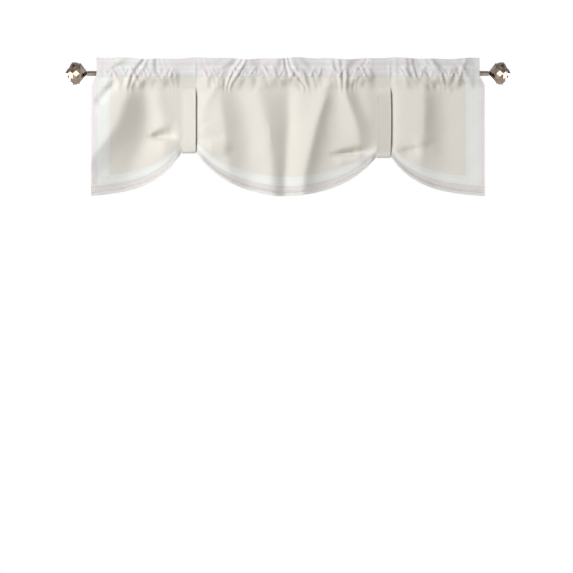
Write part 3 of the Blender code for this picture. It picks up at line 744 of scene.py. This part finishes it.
def smooth_path(points, count):
    """Points on a curve through the given ones, and the length of the straight lines between those.

    Each stretch is a cubic, whose slope at a given point is the slope between that point's neighbours.
    """
    marks = np.concatenate([[0], np.cumsum(np.linalg.norm(np.diff(points, axis=0), axis=1))])
    slopes = np.gradient(points, marks, axis=0)
    at = np.linspace(0, marks[-1], count)
    k = np.clip(np.searchsorted(marks, at, side="right") - 1, 0, len(marks) - 2)
    gap = (marks[k + 1] - marks[k])[:, None]
    t = (at - marks[k])[:, None] / gap
    curve = ((2 * t ** 3 - 3 * t ** 2 + 1) * points[k] + (t ** 3 - 2 * t ** 2 + t) * gap * slopes[k]
             + (3 * t ** 2 - 2 * t ** 3) * points[k + 1] + (t ** 3 - t ** 2) * gap * slopes[k + 1])
    return curve, marks[-1]


print("the straps reach down to", [round(strap_route(middle)[:, 1].min(), 3) for middle in STRAP_MIDDLES])

# %% [markdown]
# A strap is a sheet over its width and its length, like every other piece of cloth. In front the left
# strap's right edge stands a little further off the cloth than its left edge. The right strap is turned
# the other way, bows to the side and is crumpled under its seam.

# %% Straps
STRAP_EDGE_STANDS = ((0.0000, 0.0068), (0.0105, 0.0054))
STRAP_CRUMPLES = (0.0002, 0.0016)
STRAP_BOWS = (0.0000, 0.0022)
STRAP_HEM = 0.0004
STRAP_HEM_SHARE = 0.06
STRAP_COLUMN_STEP = 0.0025
FRONT_END = 0.18
FRONT_FADE = 0.05
SEAM_RUN = 0.03
CRUMPLE_END = 0.075
CRUMPLE_FADE = 0.060
BOW_LENGTH = 0.22


def make_strap(side, middle, edge_stands, crumple, bow):
    """One strap as a closed sheet, and its length.

    In front each edge stands off the cloth by its own distance, the two hems are low ridges, and the
    crumples under the seam are the product of two sines.
    """
    path, length = smooth_path(strap_route(middle), STRAP_ROWS)
    rows = np.linspace(0, length, STRAP_ROWS)

    def strap_layer(across, along):
        """A point of the strap: its side view, moved across, and in front turned, hemmed and crumpled."""
        y = np.interp(along, rows, path[:, 0])
        z = np.interp(along, rows, path[:, 1])
        in_front = 1 - smooth_step((along - FRONT_END) / FRONT_FADE)
        start = smooth_step(along / SEAM_RUN)
        place = across / STRAP_WIDTH + 0.5
        y = y - in_front * start * (edge_stands[0] + (edge_stands[1] - edge_stands[0]) * place)
        hems = STRAP_HEM * np.exp(-(np.minimum(place, 1 - place) / STRAP_HEM_SHARE) ** 2)
        crumples = np.sin(along * 420 + across * 330) * np.sin(along * 260 - across * 510)
        near_seam = smooth_step((CRUMPLE_END - along) / CRUMPLE_FADE)
        y = y - in_front * (hems + crumple * start * crumples * near_seam)
        aside = bow * np.sin(math.pi * np.clip(along / BOW_LENGTH, 0, 1))
        return np.stack([middle + across + in_front * aside, y, z], axis=-1)

    columns = lines_between(-STRAP_WIDTH / 2, STRAP_WIDTH / 2, STRAP_COLUMN_STEP)
    return sheet("strap_band_" + side, strap_layer, columns, rows, STRAP_CLOTH), length


straps, strap_lengths = [], []
for strap_values in zip(("left", "right"), STRAP_MIDDLES, STRAP_EDGE_STANDS, STRAP_CRUMPLES, STRAP_BOWS):
    strap, strap_length = make_strap(*strap_values)
    straps.append(strap)
    strap_lengths.append(strap_length)
print("straps are", [round(v, 3) for v in strap_lengths], "m long")

# %% [markdown]
# Stitches and beads
#
# Sewing thread shows as a row of short rounded bars, and the trim along the hem carries two rows of small
# beads. Each is one small closed shape, a ball of a few rings, that is copied along a line of the flat
# cloth.

# %% A small ball
BALL_RINGS = 4
BALL_SIDES = 6


def small_ball():
    """Points, four-cornered faces and three-cornered ones of a ball of radius 1.

    Its rings lie round the first axis, and the caps join the first and last ring to the poles.
    """
    tilt = math.pi * np.arange(1, BALL_RINGS + 1)[:, None] / (BALL_RINGS + 1)
    turn = 2 * math.pi * np.arange(BALL_SIDES)[None] / BALL_SIDES
    rings = np.stack([np.cos(tilt) + 0 * turn, np.sin(tilt) * np.cos(turn), np.sin(tilt) * np.sin(turn)],
                     axis=-1)
    points = np.concatenate([rings.reshape(-1, 3), [(1, 0, 0), (-1, 0, 0)]])
    ring, side = np.meshgrid(np.arange(BALL_RINGS - 1), np.arange(BALL_SIDES), indexing="ij")
    near, far = ring * BALL_SIDES + side, ring * BALL_SIDES + (side + 1) % BALL_SIDES
    quads = np.stack([near, near + BALL_SIDES, far + BALL_SIDES, far], axis=-1).reshape(-1, 4)
    k, ahead = np.arange(BALL_SIDES), (np.arange(BALL_SIDES) + 1) % BALL_SIDES
    last, poles = (BALL_RINGS - 1) * BALL_SIDES, BALL_RINGS * BALL_SIDES
    first_cap = np.stack([np.full(BALL_SIDES, poles), k, ahead], axis=-1)
    last_cap = np.stack([np.full(BALL_SIDES, poles + 1), last + ahead, last + k], axis=-1)
    return points, quads, np.concatenate([first_cap, last_cap])


BALL_POINTS, BALL_QUADS, BALL_CAPS = small_ball()
print("the ball has", len(BALL_POINTS), "points and", len(BALL_QUADS) + len(BALL_CAPS), "faces")

# %% [markdown]
# The cloth's own functions say where each copy sits on the hung cloth and which way it faces, so all
# copies of a row are worked out in one go. Stitches run along the foot of the frill, along the pocket and
# beside each seam of the borders and trims.

# %% Rows of stitches and beads
STITCH_PITCH = 0.0036
STITCH_HALF = (0.0013, 0.00035, 0.00030)
STITCH_END = 0.003
BESIDE_SEAM = 0.0018
BEAD_PITCH = 0.0050
BEAD_HALF = (0.0019, 0.0019, 0.0015)
BEAD_END = 0.004
BEAD_ROWS = ((0.0120, 0.0, 1.0), (0.0165, BEAD_PITCH / 2, 0.7))
NEAR = 0.0005


def along_line(a, b, heading, half):
    """Copies of the ball on the front layer at flat places (a, b), stretched to half their three sizes.

    The long axis follows the heading. Forward is the difference of two near points of the cloth along
    the heading, sideways that across it, and up is their cross product, turned towards the room.
    """
    a, b = np.broadcast_arrays(np.asarray(a, dtype=float), np.asarray(b, dtype=float))
    step_a, step_b = NEAR * heading[0], NEAR * heading[1]
    forward = front_layer(a + step_a, b + step_b) - front_layer(a - step_a, b - step_b)
    sideways = front_layer(a - step_b, b + step_a) - front_layer(a + step_b, b - step_a)
    forward = forward / np.linalg.norm(forward, axis=-1, keepdims=True)
    up = np.cross(forward, sideways)
    up = up / np.linalg.norm(up, axis=-1, keepdims=True)
    up = up * -np.sign(up[:, 1:2])
    sideways = np.cross(up, forward)
    axes = [half[0] * forward, half[1] * sideways, half[2] * up]
    spread = sum(BALL_POINTS[None, :, k:k + 1] * axes[k][:, None] for k in range(3))
    return (front_layer(a, b) + CLOTH / 2 * up)[:, None] + spread


def copies(name, rows):
    """One object from several rows of copies of the ball."""
    points = np.concatenate(rows)
    start = np.arange(len(points))[:, None, None] * points.shape[1]
    faces = (BALL_QUADS[None] + start).reshape(-1, 4).tolist()
    faces += (BALL_CAPS[None] + start).reshape(-1, 3).tolist()
    mesh = bpy.data.meshes.new(name)
    mesh.from_pydata(points.reshape(-1, 3).tolist(), [], faces)
    mesh.shade_smooth()
    thing = bpy.data.objects.new(name, mesh)
    bpy.context.scene.collection.objects.link(thing)
    print(f"{name}: {len(points)} copies, {len(faces)} faces")
    return thing


def across_row(b, half_width):
    """Stitches across the cloth at one distance from the fold."""
    return along_line(lines_between(-half_width, half_width, STITCH_PITCH), b, (1, 0), STITCH_HALF)


def down_row(a, start, end):
    """Stitches down the cloth at one distance from its middle."""
    return along_line(a, lines_between(start, end, STITCH_PITCH), (0, 1), STITCH_HALF)


stitch_rows = [across_row(FRILL, FLAT_WIDTH / 2 - STITCH_END),
               across_row(HANG_START, FLAT_WIDTH / 2 - STITCH_END),
               across_row(BORDER - BESIDE_SEAM, PANEL_HALF),
               across_row(HEM_TOP + BESIDE_SEAM, PANEL_HALF),
               across_row(HEM_TRIM_TOP + BESIDE_SEAM, TRIM_INNER)]
for facing in (-1, 1):
    stitch_rows.append(down_row(facing * (PANEL_HALF + BESIDE_SEAM), BORDER, HEM_TOP))
    stitch_rows.append(down_row(facing * (TRIM_INNER + BESIDE_SEAM), BORDER + 0.004, HEM_TRIM_TOP))
stitching = copies("stitching", stitch_rows)

bead_places = lines_between(BEAD_END - FLAT_WIDTH / 2, FLAT_WIDTH / 2 - BEAD_END, BEAD_PITCH)
bead_rows = [along_line(bead_places + shift, FLAT_DROP - rise, (1, 0), [share * v for v in BEAD_HALF])
             for rise, shift, share in BEAD_ROWS]
beads = copies("hem_beads", bead_rows)

# %% [markdown]
# Finishes
#
# A cloth's finish is made of the weave, which is fine relief, the slubs, which are long thin threads a
# shade lighter or darker, and the woven lines along an edge. Where a cloth shimmers between two colours, a
# slow drift mixes them in soft patches. Each of the four is a node group with named sockets, so that every
# cloth can use it with its own values.

# %% Node helpers
FLOAT = "NodeSocketFloat"
VECTOR = "NodeSocketVector"


def new_group(name, inputs, outputs):
    """An empty node group with float or vector inputs and outputs."""
    group = bpy.data.node_groups.new(name, "ShaderNodeTree")
    for label, kind, value in inputs:
        socket = group.interface.new_socket(label, in_out="INPUT", socket_type=kind)
        if value is not None:
            socket.default_value = value
    for label, kind in outputs:
        group.interface.new_socket(label, in_out="OUTPUT", socket_type=kind)
    return group, group.nodes.new("NodeGroupInput").outputs, group.nodes.new("NodeGroupOutput").inputs


def calculate(tree, operation, *values):
    """A Math node with numbers or sockets as its inputs."""
    node = tree.nodes.new("ShaderNodeMath")
    node.operation = operation
    for socket, value in zip(node.inputs, values):
        if isinstance(value, (int, float)):
            socket.default_value = value
        else:
            tree.links.new(value, socket)
    return node.outputs[0]


def noise(tree, vector, stretch, detail=2.0):
    """A Noise texture on a stretched copy of the vector; stretch is its clouds per unit of each axis."""
    mapping = tree.nodes.new("ShaderNodeMapping")
    mapping.inputs["Scale"].default_value = stretch
    tree.links.new(vector, mapping.inputs["Vector"])
    node = tree.nodes.new("ShaderNodeTexNoise")
    node.inputs["Scale"].default_value = 1.0
    node.inputs["Detail"].default_value = detail
    tree.links.new(mapping.outputs["Vector"], node.inputs["Vector"])
    return node.outputs["Fac"]


# %% [markdown]
# The weave is a product of two sines, one for the threads across and one for those down, moved and halved
# so that it runs from 0 to 1. The slubs are two noises, each drawn out long along its threads. The woven
# lines are a cosine of the distance from the cloth's edge, cut off before the first line and after the
# last.

# %% Weave, slubs, woven lines and drift
weave, given, out = new_group("plain weave", [("Vector", VECTOR, None), ("Pitch", FLOAT, 0.0011)],
                              [("Height", FLOAT)])
split = weave.nodes.new("ShaderNodeSeparateXYZ")
weave.links.new(given["Vector"], split.inputs[0])
half_turns = [calculate(weave, "MULTIPLY", split.outputs[k], math.pi) for k in (0, 1)]
threads = [calculate(weave, "SINE", calculate(weave, "DIVIDE", turn, given["Pitch"])) for turn in half_turns]
checker = calculate(weave, "MULTIPLY", *threads)
weave.links.new(calculate(weave, "MULTIPLY_ADD", checker, 0.5, 0.5), out["Height"])

slubs, given, out = new_group("slubs", [("Vector", VECTOR, None), ("Amount", FLOAT, 0.5)], [("Tone", FLOAT)])
across_threads = noise(slubs, given["Vector"], (45, 1300, 1))
down_threads = noise(slubs, given["Vector"], (1300, 45, 1))
both = calculate(slubs, "SUBTRACT", calculate(slubs, "ADD", across_threads, down_threads), 1.0)
slubs.links.new(calculate(slubs, "MULTIPLY_ADD", both, given["Amount"], 0.5), out["Tone"])

line_inputs = [("Edge", FLOAT, 0.0), ("First", FLOAT, 0.010), ("Last", FLOAT, 0.030), ("Pitch", FLOAT, 0.004)]
pin_lines, given, out = new_group("woven lines", line_inputs, [("Mask", FLOAT)])
from_first = calculate(pin_lines, "SUBTRACT", given["Edge"], given["First"])
phase = calculate(pin_lines, "DIVIDE", from_first, given["Pitch"])
stripe = calculate(pin_lines, "COSINE", calculate(pin_lines, "MULTIPLY", phase, 2 * math.pi))
stripe = calculate(pin_lines, "MULTIPLY_ADD", stripe, 1.6, -0.6)
inside = calculate(pin_lines, "MULTIPLY",
                   calculate(pin_lines, "GREATER_THAN", given["Edge"], given["First"]),
                   calculate(pin_lines, "LESS_THAN", given["Edge"], given["Last"]))
clear = pin_lines.nodes.new("ShaderNodeClamp")
pin_lines.links.new(stripe, clear.inputs["Value"])
pin_lines.links.new(calculate(pin_lines, "MULTIPLY", clear.outputs[0], inside), out["Mask"])

drift, given, out = new_group("tone drift", [("Vector", VECTOR, None), ("Scale", FLOAT, 18.0)],
                              [("Mask", FLOAT)])
scaled = drift.nodes.new("ShaderNodeVectorMath")
scaled.operation = "SCALE"
drift.links.new(given["Vector"], scaled.inputs[0])
drift.links.new(given["Scale"], scaled.inputs["Scale"])
cloud = noise(drift, scaled.outputs[0], (1, 1, 1), 3.0)
drift.links.new(calculate(drift, "MULTIPLY_ADD", cloud, 3.2, -1.1), out["Mask"])
print("node groups:", [group.name for group in bpy.data.node_groups])

# %% [markdown]
# A cloth's material places the groups. Its tone moves a little to each side of its own colour with the
# slubs, and each set of woven lines mixes in the lines' colour. The weave, the slubs and the lines together
# are the height of one Bump node. Sheen is set on the shader's own socket, because it is the same all over.

# %% A cloth's material
TONE_SPREAD = 0.05
SLUB_AMOUNT = 0.9
WEAVE_SHARE = 0.25
SLUB_SHARE = 0.6
LINE_SHARE = 0.8


def mix_colour(tree, factor, first, second):
    """A Mix node for colours; each of the two is a colour or a socket."""
    node = tree.nodes.new("ShaderNodeMix")
    node.data_type = "RGBA"
    node.clamp_factor = True
    tree.links.new(factor, node.inputs["Factor"])
    for label, value in (("A", first), ("B", second)):
        socket = [s for s in node.inputs if s.name == label and s.type == "RGBA"][0]
        if isinstance(value, tuple):
            socket.default_value = (*value, 1)
        else:
            tree.links.new(value, socket)
    return [s for s in node.outputs if s.type == "RGBA"][0]


def times(colour, share):
    """A colour made lighter or darker by a share."""
    return tuple(v * share for v in colour)


def place_group(tree, group, **values):
    """Puts a node group into a material; values are numbers or sockets."""
    node = tree.nodes.new("ShaderNodeGroup")
    node.node_tree = group
    for label, value in values.items():
        if isinstance(value, (int, float)):
            node.inputs[label].default_value = value
        else:
            tree.links.new(value, node.inputs[label])
    return node.outputs[0]


def cloth_finish(name, colour, line_sets=(), line_colour=None, other=None):
    """A woven cloth: slubs spread its tone, and sets of woven lines follow its edge.

    A set of lines is its first line, its last, their pitch and their strength. Where another colour is
    given, the cloth drifts between the two in patches.
    """
    finish = bpy.data.materials.new(name)
    finish.use_nodes = True
    tree = finish.node_tree
    shader = tree.nodes["Principled BSDF"]
    flat = tree.nodes.new("ShaderNodeUVMap")
    flat.uv_map = "flat"
    tone = place_group(tree, slubs, Vector=flat.outputs[0], Amount=SLUB_AMOUNT)
    shade = mix_colour(tree, tone, times(colour, 1 - TONE_SPREAD), times(colour, 1 + TONE_SPREAD))
    if other:
        patches = place_group(tree, drift, Vector=flat.outputs[0])
        other_shade = mix_colour(tree, tone, times(other, 1 - TONE_SPREAD), other)
        shade = mix_colour(tree, patches, shade, other_shade)
    height = calculate(tree, "MULTIPLY", place_group(tree, weave, Vector=flat.outputs[0]), WEAVE_SHARE)
    height = calculate(tree, "ADD", height, calculate(tree, "MULTIPLY", tone, SLUB_SHARE))
    edge = tree.nodes.new("ShaderNodeAttribute")
    edge.attribute_name = "edge"
    for first, last, pitch, strength in line_sets:
        lines = place_group(tree, pin_lines, Edge=edge.outputs["Fac"], First=first, Last=last, Pitch=pitch)
        shade = mix_colour(tree, calculate(tree, "MULTIPLY", lines, strength), shade, line_colour)
        height = calculate(tree, "SUBTRACT", height, calculate(tree, "MULTIPLY", lines, LINE_SHARE))
    bump = tree.nodes.new("ShaderNodeBump")
    bump.inputs["Strength"].default_value = 0.5
    bump.inputs["Distance"].default_value = 0.0005
    tree.links.new(height, bump.inputs["Height"])
    tree.links.new(bump.outputs["Normal"], shader.inputs["Normal"])
    tree.links.new(shade, shader.inputs["Base Color"])
    shader.inputs["Roughness"].default_value = 0.9
    shader.inputs["Sheen Weight"].default_value = 0.06
    shader.inputs["Sheen Roughness"].default_value = 0.4
    shader.inputs["Specular IOR Level"].default_value = 0.10
    finish.diffuse_color = (*colour, 1)
    return finish


# %% [markdown]
# The panel and the straps are plain beige. The white borders have grey lines in three sets. The header is
# the same band, but its colours are darker than the borders' white, which is painted shade of its creases,
# and its colour drifts between a greenish and a rosy white. Its lines and those of the rosy trims are mauve.
# The trim along the hem is darker than those at the sides: partly its own tone, partly painted shade.

# %% Cloths
BEIGE = (0.700, 0.671, 0.614)
WHITE = (0.760, 0.770, 0.745)
# The header's two colours are darker than the white border to paint in the shade of its creases.
HEADER_GREEN_SHADED = (0.685, 0.705, 0.680)
HEADER_ROSE_SHADED = (0.725, 0.680, 0.685)
SIDE_TRIM_ROSE = (0.800, 0.770, 0.765)
# The hem trim's colours are darker than the side trim's: partly their own tone and partly painted shade along
# the hem.
HEM_TRIM_ROSE_SHADED = (0.710, 0.680, 0.675)
HEM_TRIM_CREAM_SHADED = (0.720, 0.710, 0.670)
GREY_LINE = (0.60, 0.60, 0.58)
MAUVE_LINE = (0.47, 0.42, 0.43)
BORDER_LINES = [(0.0145, 0.0245, 0.0040, 0.55), (0.0360, 0.0400, 0.0040, 0.40),
                (0.0500, 0.0635, 0.0033, 0.45)]
SIDE_TRIM_LINES = [(0.0035, 0.0200, 0.0042, 0.60)]
HEM_TRIM_LINES = [(0.0140, 0.0335, 0.0046, 0.40)]

beige_cloth = cloth_finish("beige cloth", BEIGE)
strap_cloth = cloth_finish("strap cloth", BEIGE)
white_cloth = cloth_finish("white cloth", WHITE, BORDER_LINES, GREY_LINE)
header_cloth = cloth_finish("header cloth", HEADER_GREEN_SHADED, BORDER_LINES, MAUVE_LINE, HEADER_ROSE_SHADED)
edge_cloth = cloth_finish("edge trim", SIDE_TRIM_ROSE, SIDE_TRIM_LINES, MAUVE_LINE)
hem_cloth = cloth_finish("hem trim", HEM_TRIM_ROSE_SHADED, HEM_TRIM_LINES, MAUVE_LINE, HEM_TRIM_CREAM_SHADED)

for thing, finish in [(header, header_cloth), (panel, beige_cloth), (hem_band, white_cloth),
                      (hem_trim, hem_cloth), *[(band, white_cloth) for band in bands],
                      *[(trim, edge_cloth) for trim in trims], *[(strap, strap_cloth) for strap in straps]]:
    thing.data.materials.append(finish)
    print(thing.name, "is", finish.name)

# %% [markdown]
# The thread and the beads are too small for a pattern, so their finishes are plain ones with a change of
# tone: a noise on Object coordinates, about as coarse as a few stitches or one bead. The grey plastic of
# the plugs inside the rod's ends is made the same way.

# %% Thread, beads and plastic
def small_finish(name, colours, rough, grain_size, contrast=3.0):
    """A finish whose tone changes from place to place between two colours.

    The noise stays near one half, so its distance from there is first multiplied by the contrast.
    """
    finish = bpy.data.materials.new(name)
    finish.use_nodes = True
    tree = finish.node_tree
    shader = tree.nodes["Principled BSDF"]
    place = tree.nodes.new("ShaderNodeTexCoord").outputs["Object"]
    grain = noise(tree, place, (1 / grain_size,) * 3)
    sharper = calculate(tree, "MULTIPLY_ADD", grain, contrast, (1 - contrast) / 2)
    tree.links.new(mix_colour(tree, sharper, *colours), shader.inputs["Base Color"])
    shader.inputs["Roughness"].default_value = rough
    print(f"{name}: grain of {1000 * grain_size:.1f} mm")
    return finish


thread = small_finish("sewing thread", ((0.66, 0.60, 0.60), (0.76, 0.73, 0.71)), 0.8, 0.006)
bead_glaze = small_finish("speckled beads", ((0.46, 0.44, 0.42), (0.84, 0.81, 0.74)), 0.35, 0.003)
plastic = small_finish("grey plastic", ((0.16, 0.16, 0.16), (0.24, 0.24, 0.24)), 0.5, 1 / 900, contrast=1.0)
stitching.data.materials.append(thread)
beads.data.materials.append(bead_glaze)

# %% [markdown]
# The rod and its finials are steel and resin with the same polished bronze plating. A metal's colour in
# Blender is its Base Color, and what it mirrors does the rest, so its roughness stays low, with a faint
# cloudiness from a noise texture.

# %% Polished bronze
BRONZE = (0.42, 0.33, 0.27)


def bronze_finish(name, colour, low, high):
    """Polished plating whose roughness drifts between two values, and its tone with it."""
    finish = bpy.data.materials.new(name)
    finish.use_nodes = True
    tree = finish.node_tree
    shader = tree.nodes["Principled BSDF"]
    place = tree.nodes.new("ShaderNodeTexCoord").outputs["Object"]
    cloud = noise(tree, place, (40, 40, 40), 4.0)
    rough = calculate(tree, "MULTIPLY_ADD", cloud, high - low, low)
    tree.links.new(rough, shader.inputs["Roughness"])
    shade = mix_colour(tree, cloud, times(colour, 0.85), times(colour, 1.1))
    tree.links.new(shade, shader.inputs["Base Color"])
    shader.inputs["Metallic"].default_value = 1.0
    finish.diffuse_color = (*colour, 1)
    return finish


def give(node, finish):
    """Puts a finish on a solid that keeps its shape."""
    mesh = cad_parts[node].data
    mesh.materials.clear()
    mesh.materials.append(finish)
    print(node, "is", finish.name)


bronze = bronze_finish("champagne bronze", BRONZE, 0.10, 0.22)
for node in ("rod", "finial_left", "finial_right"):
    give(node, bronze)
for node in ("rod_plug_left", "rod_plug_right"):
    give(node, plastic)

# %% [markdown]
# Light and backdrop
#
# The picture has a white background and soft light from the left and a little above. The world is white
# for the camera, and dimmer as a light. Polished metal only looks like metal when it mirrors something
# dark beside something bright, so for mirrors the world is a studio: a bright band all round below eye
# level, and above it dark screens with paler strips between them. Each band is given as a share of the
# way from straight down to straight up, and its brightness.

# %% World
AMBIENT = 0.17
MIRROR_BANDS = [(0.02, 0.20), (0.08, 0.70), (0.15, 0.50), (0.22, 2.60), (0.30, 5.50), (0.48, 6.00),
                (0.53, 0.25), (0.62, 0.12), (0.70, 0.80), (0.74, 0.10), (0.81, 1.10), (0.85, 0.08),
                (0.93, 0.60), (0.98, 0.08)]

world = bpy.data.worlds.new("studio")
world.use_nodes = True
bpy.context.scene.world = world
tree = world.node_tree
direction = tree.nodes.new("ShaderNodeTexCoord")
upright = tree.nodes.new("ShaderNodeSeparateXYZ")
tree.links.new(direction.outputs["Generated"], upright.inputs[0])
ramp = tree.nodes.new("ShaderNodeValToRGB")
for place, level in MIRROR_BANDS:
    stop = ramp.color_ramp.elements.new(place)
    stop.color = (level, level, level, 1)
for spare in (0, -1):
    ramp.color_ramp.elements.remove(ramp.color_ramp.elements[spare])
tree.links.new(calculate(tree, "MULTIPLY_ADD", upright.outputs["Z"], 0.5, 0.5), ramp.inputs["Fac"])

path_kind = tree.nodes.new("ShaderNodeLightPath").outputs
glossy = path_kind["Is Glossy Ray"]
seen = calculate(tree, "MAXIMUM", path_kind["Is Camera Ray"], path_kind["Is Transmission Ray"])
mirrored = calculate(tree, "MULTIPLY", glossy, ramp.outputs["Color"])
rest = calculate(tree, "SUBTRACT", 1.0, calculate(tree, "MAXIMUM", seen, glossy))
lighting = calculate(tree, "MULTIPLY", rest, AMBIENT)
strength = calculate(tree, "ADD", calculate(tree, "ADD", seen, mirrored), lighting)
tree.links.new(strength, tree.nodes["Background"].inputs["Strength"])
tree.nodes["Background"].inputs["Color"].default_value = (1, 1, 1, 1)
print("world: strength", AMBIENT, "as a light, and", len(MIRROR_BANDS), "bands for mirrors")

# %% [markdown]
# One large lamp in front gives the folds their shade, and a weaker one behind lights the back. A lamp that
# the facets mirror would show as a white patch, so polished metal doesn't see the lamps.

# %% Lamps
LAMP_TARGET = (0, 0, -0.18)


def lamp(name, place, size, watts):
    """A square area lamp that faces the curtain: its -Z axis points along the way to the target."""
    data = bpy.data.lights.new(name, "AREA")
    data.size = size
    data.energy = watts
    thing = bpy.data.objects.new(name, data)
    thing.location = place
    aim = np.array(LAMP_TARGET) - np.array(place)
    thing.rotation_euler = (math.atan2(math.hypot(aim[0], aim[1]), -aim[2]), 0, math.atan2(-aim[0], aim[1]))
    thing.visible_glossy = False
    bpy.context.scene.collection.objects.link(thing)
    print(f"{name} lamp: {watts} W, {size} m wide")


lamp("key", (-4.3, -4.7, 2.9), 2.6, 500)
lamp("back", (3.2, 5.2, 1.6), 3.0, 260)

# %% [markdown]
# The floor lies far below, out of the camera's sight, and catches the shadow in views from above. It glows
# a little for the camera alone, so it stays pale and keeps its shadows.

# %% Floor
FLOOR_HEIGHT = -1.75
FLOOR_HALF = 6
FLOOR_GLOW = 0.45

corners = FLOOR_HALF * np.array([(-1, -1), (1, -1), (1, 1), (-1, 1)])
floor = put_mesh("floor", np.column_stack([corners, np.full(4, FLOOR_HEIGHT)]), np.array([(0, 1, 2, 3)]))
floor_finish = bpy.data.materials.new("pale floor")
floor_finish.use_nodes = True
tree = floor_finish.node_tree
shader = tree.nodes["Principled BSDF"]
shader.inputs["Base Color"].default_value = (0.85, 0.85, 0.84, 1)
shader.inputs["Roughness"].default_value = 0.8
shader.inputs["Emission Color"].default_value = (1, 1, 1, 1)
floor_seen = tree.nodes.new("ShaderNodeLightPath").outputs["Is Camera Ray"]
tree.links.new(calculate(tree, "MULTIPLY", floor_seen, FLOOR_GLOW), shader.inputs["Emission Strength"])
floor.data.materials.append(floor_finish)
bpy.context.scene.view_settings.view_transform = "Standard"
print("floor at", FLOOR_HEIGHT, "m")

# %% [markdown]
# What each piece stands for
#
# Each fine piece takes the place of its plain solid and rides on the one body.

# %% Hand the pieces over
SIDE_BAND_FLAT = (BORDER - SIDE_TRIM, HEM_TOP - BORDER)
SIDE_TRIM_FLAT = (SIDE_TRIM, HEM_TRIM_TOP - BORDER)
DECLARED = [
    (header, "header_band", "white_cloth", (FLAT_WIDTH, BORDER + HANG_START), "gathered", ["rod"]),
    (panel, "panel", "beige_cloth", (2 * PANEL_HALF, HEM_TOP - BORDER), "hung", ["header_band"]),
    (bands[0], "side_band_left", "white_cloth", SIDE_BAND_FLAT, "hung", ["header_band"]),
    (bands[1], "side_band_right", "white_cloth", SIDE_BAND_FLAT, "hung", ["header_band"]),
    (hem_band, "hem_band", "white_cloth", (2 * TRIM_INNER, BORDER - HEM_TRIM), "hung", ["panel"]),
    (trims[0], "side_trim_left", "edge_trim", SIDE_TRIM_FLAT, "hung", ["header_band"]),
    (trims[1], "side_trim_right", "edge_trim", SIDE_TRIM_FLAT, "hung", ["header_band"]),
    (hem_trim, "hem_trim", "edge_trim", (FLAT_WIDTH, HEM_TRIM), "hung", ["hem_band"]),
    (straps[0], "strap_left", "beige_cloth", (STRAP_WIDTH, strap_lengths[0]), "hung", ["header_band"]),
    (straps[1], "strap_right", "beige_cloth", (STRAP_WIDTH, strap_lengths[1]), "hung", ["header_band"]),
]
for thing, node, slot_name, flat_size, held, rests_on in DECLARED:
    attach(thing, "root")
    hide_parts(node)

for thing, slot_name in ((stitching, "white_cloth"), (beads, "edge_trim")):
    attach(thing, "root")
print(len(DECLARED), "sheets of cloth, stitches and beads")
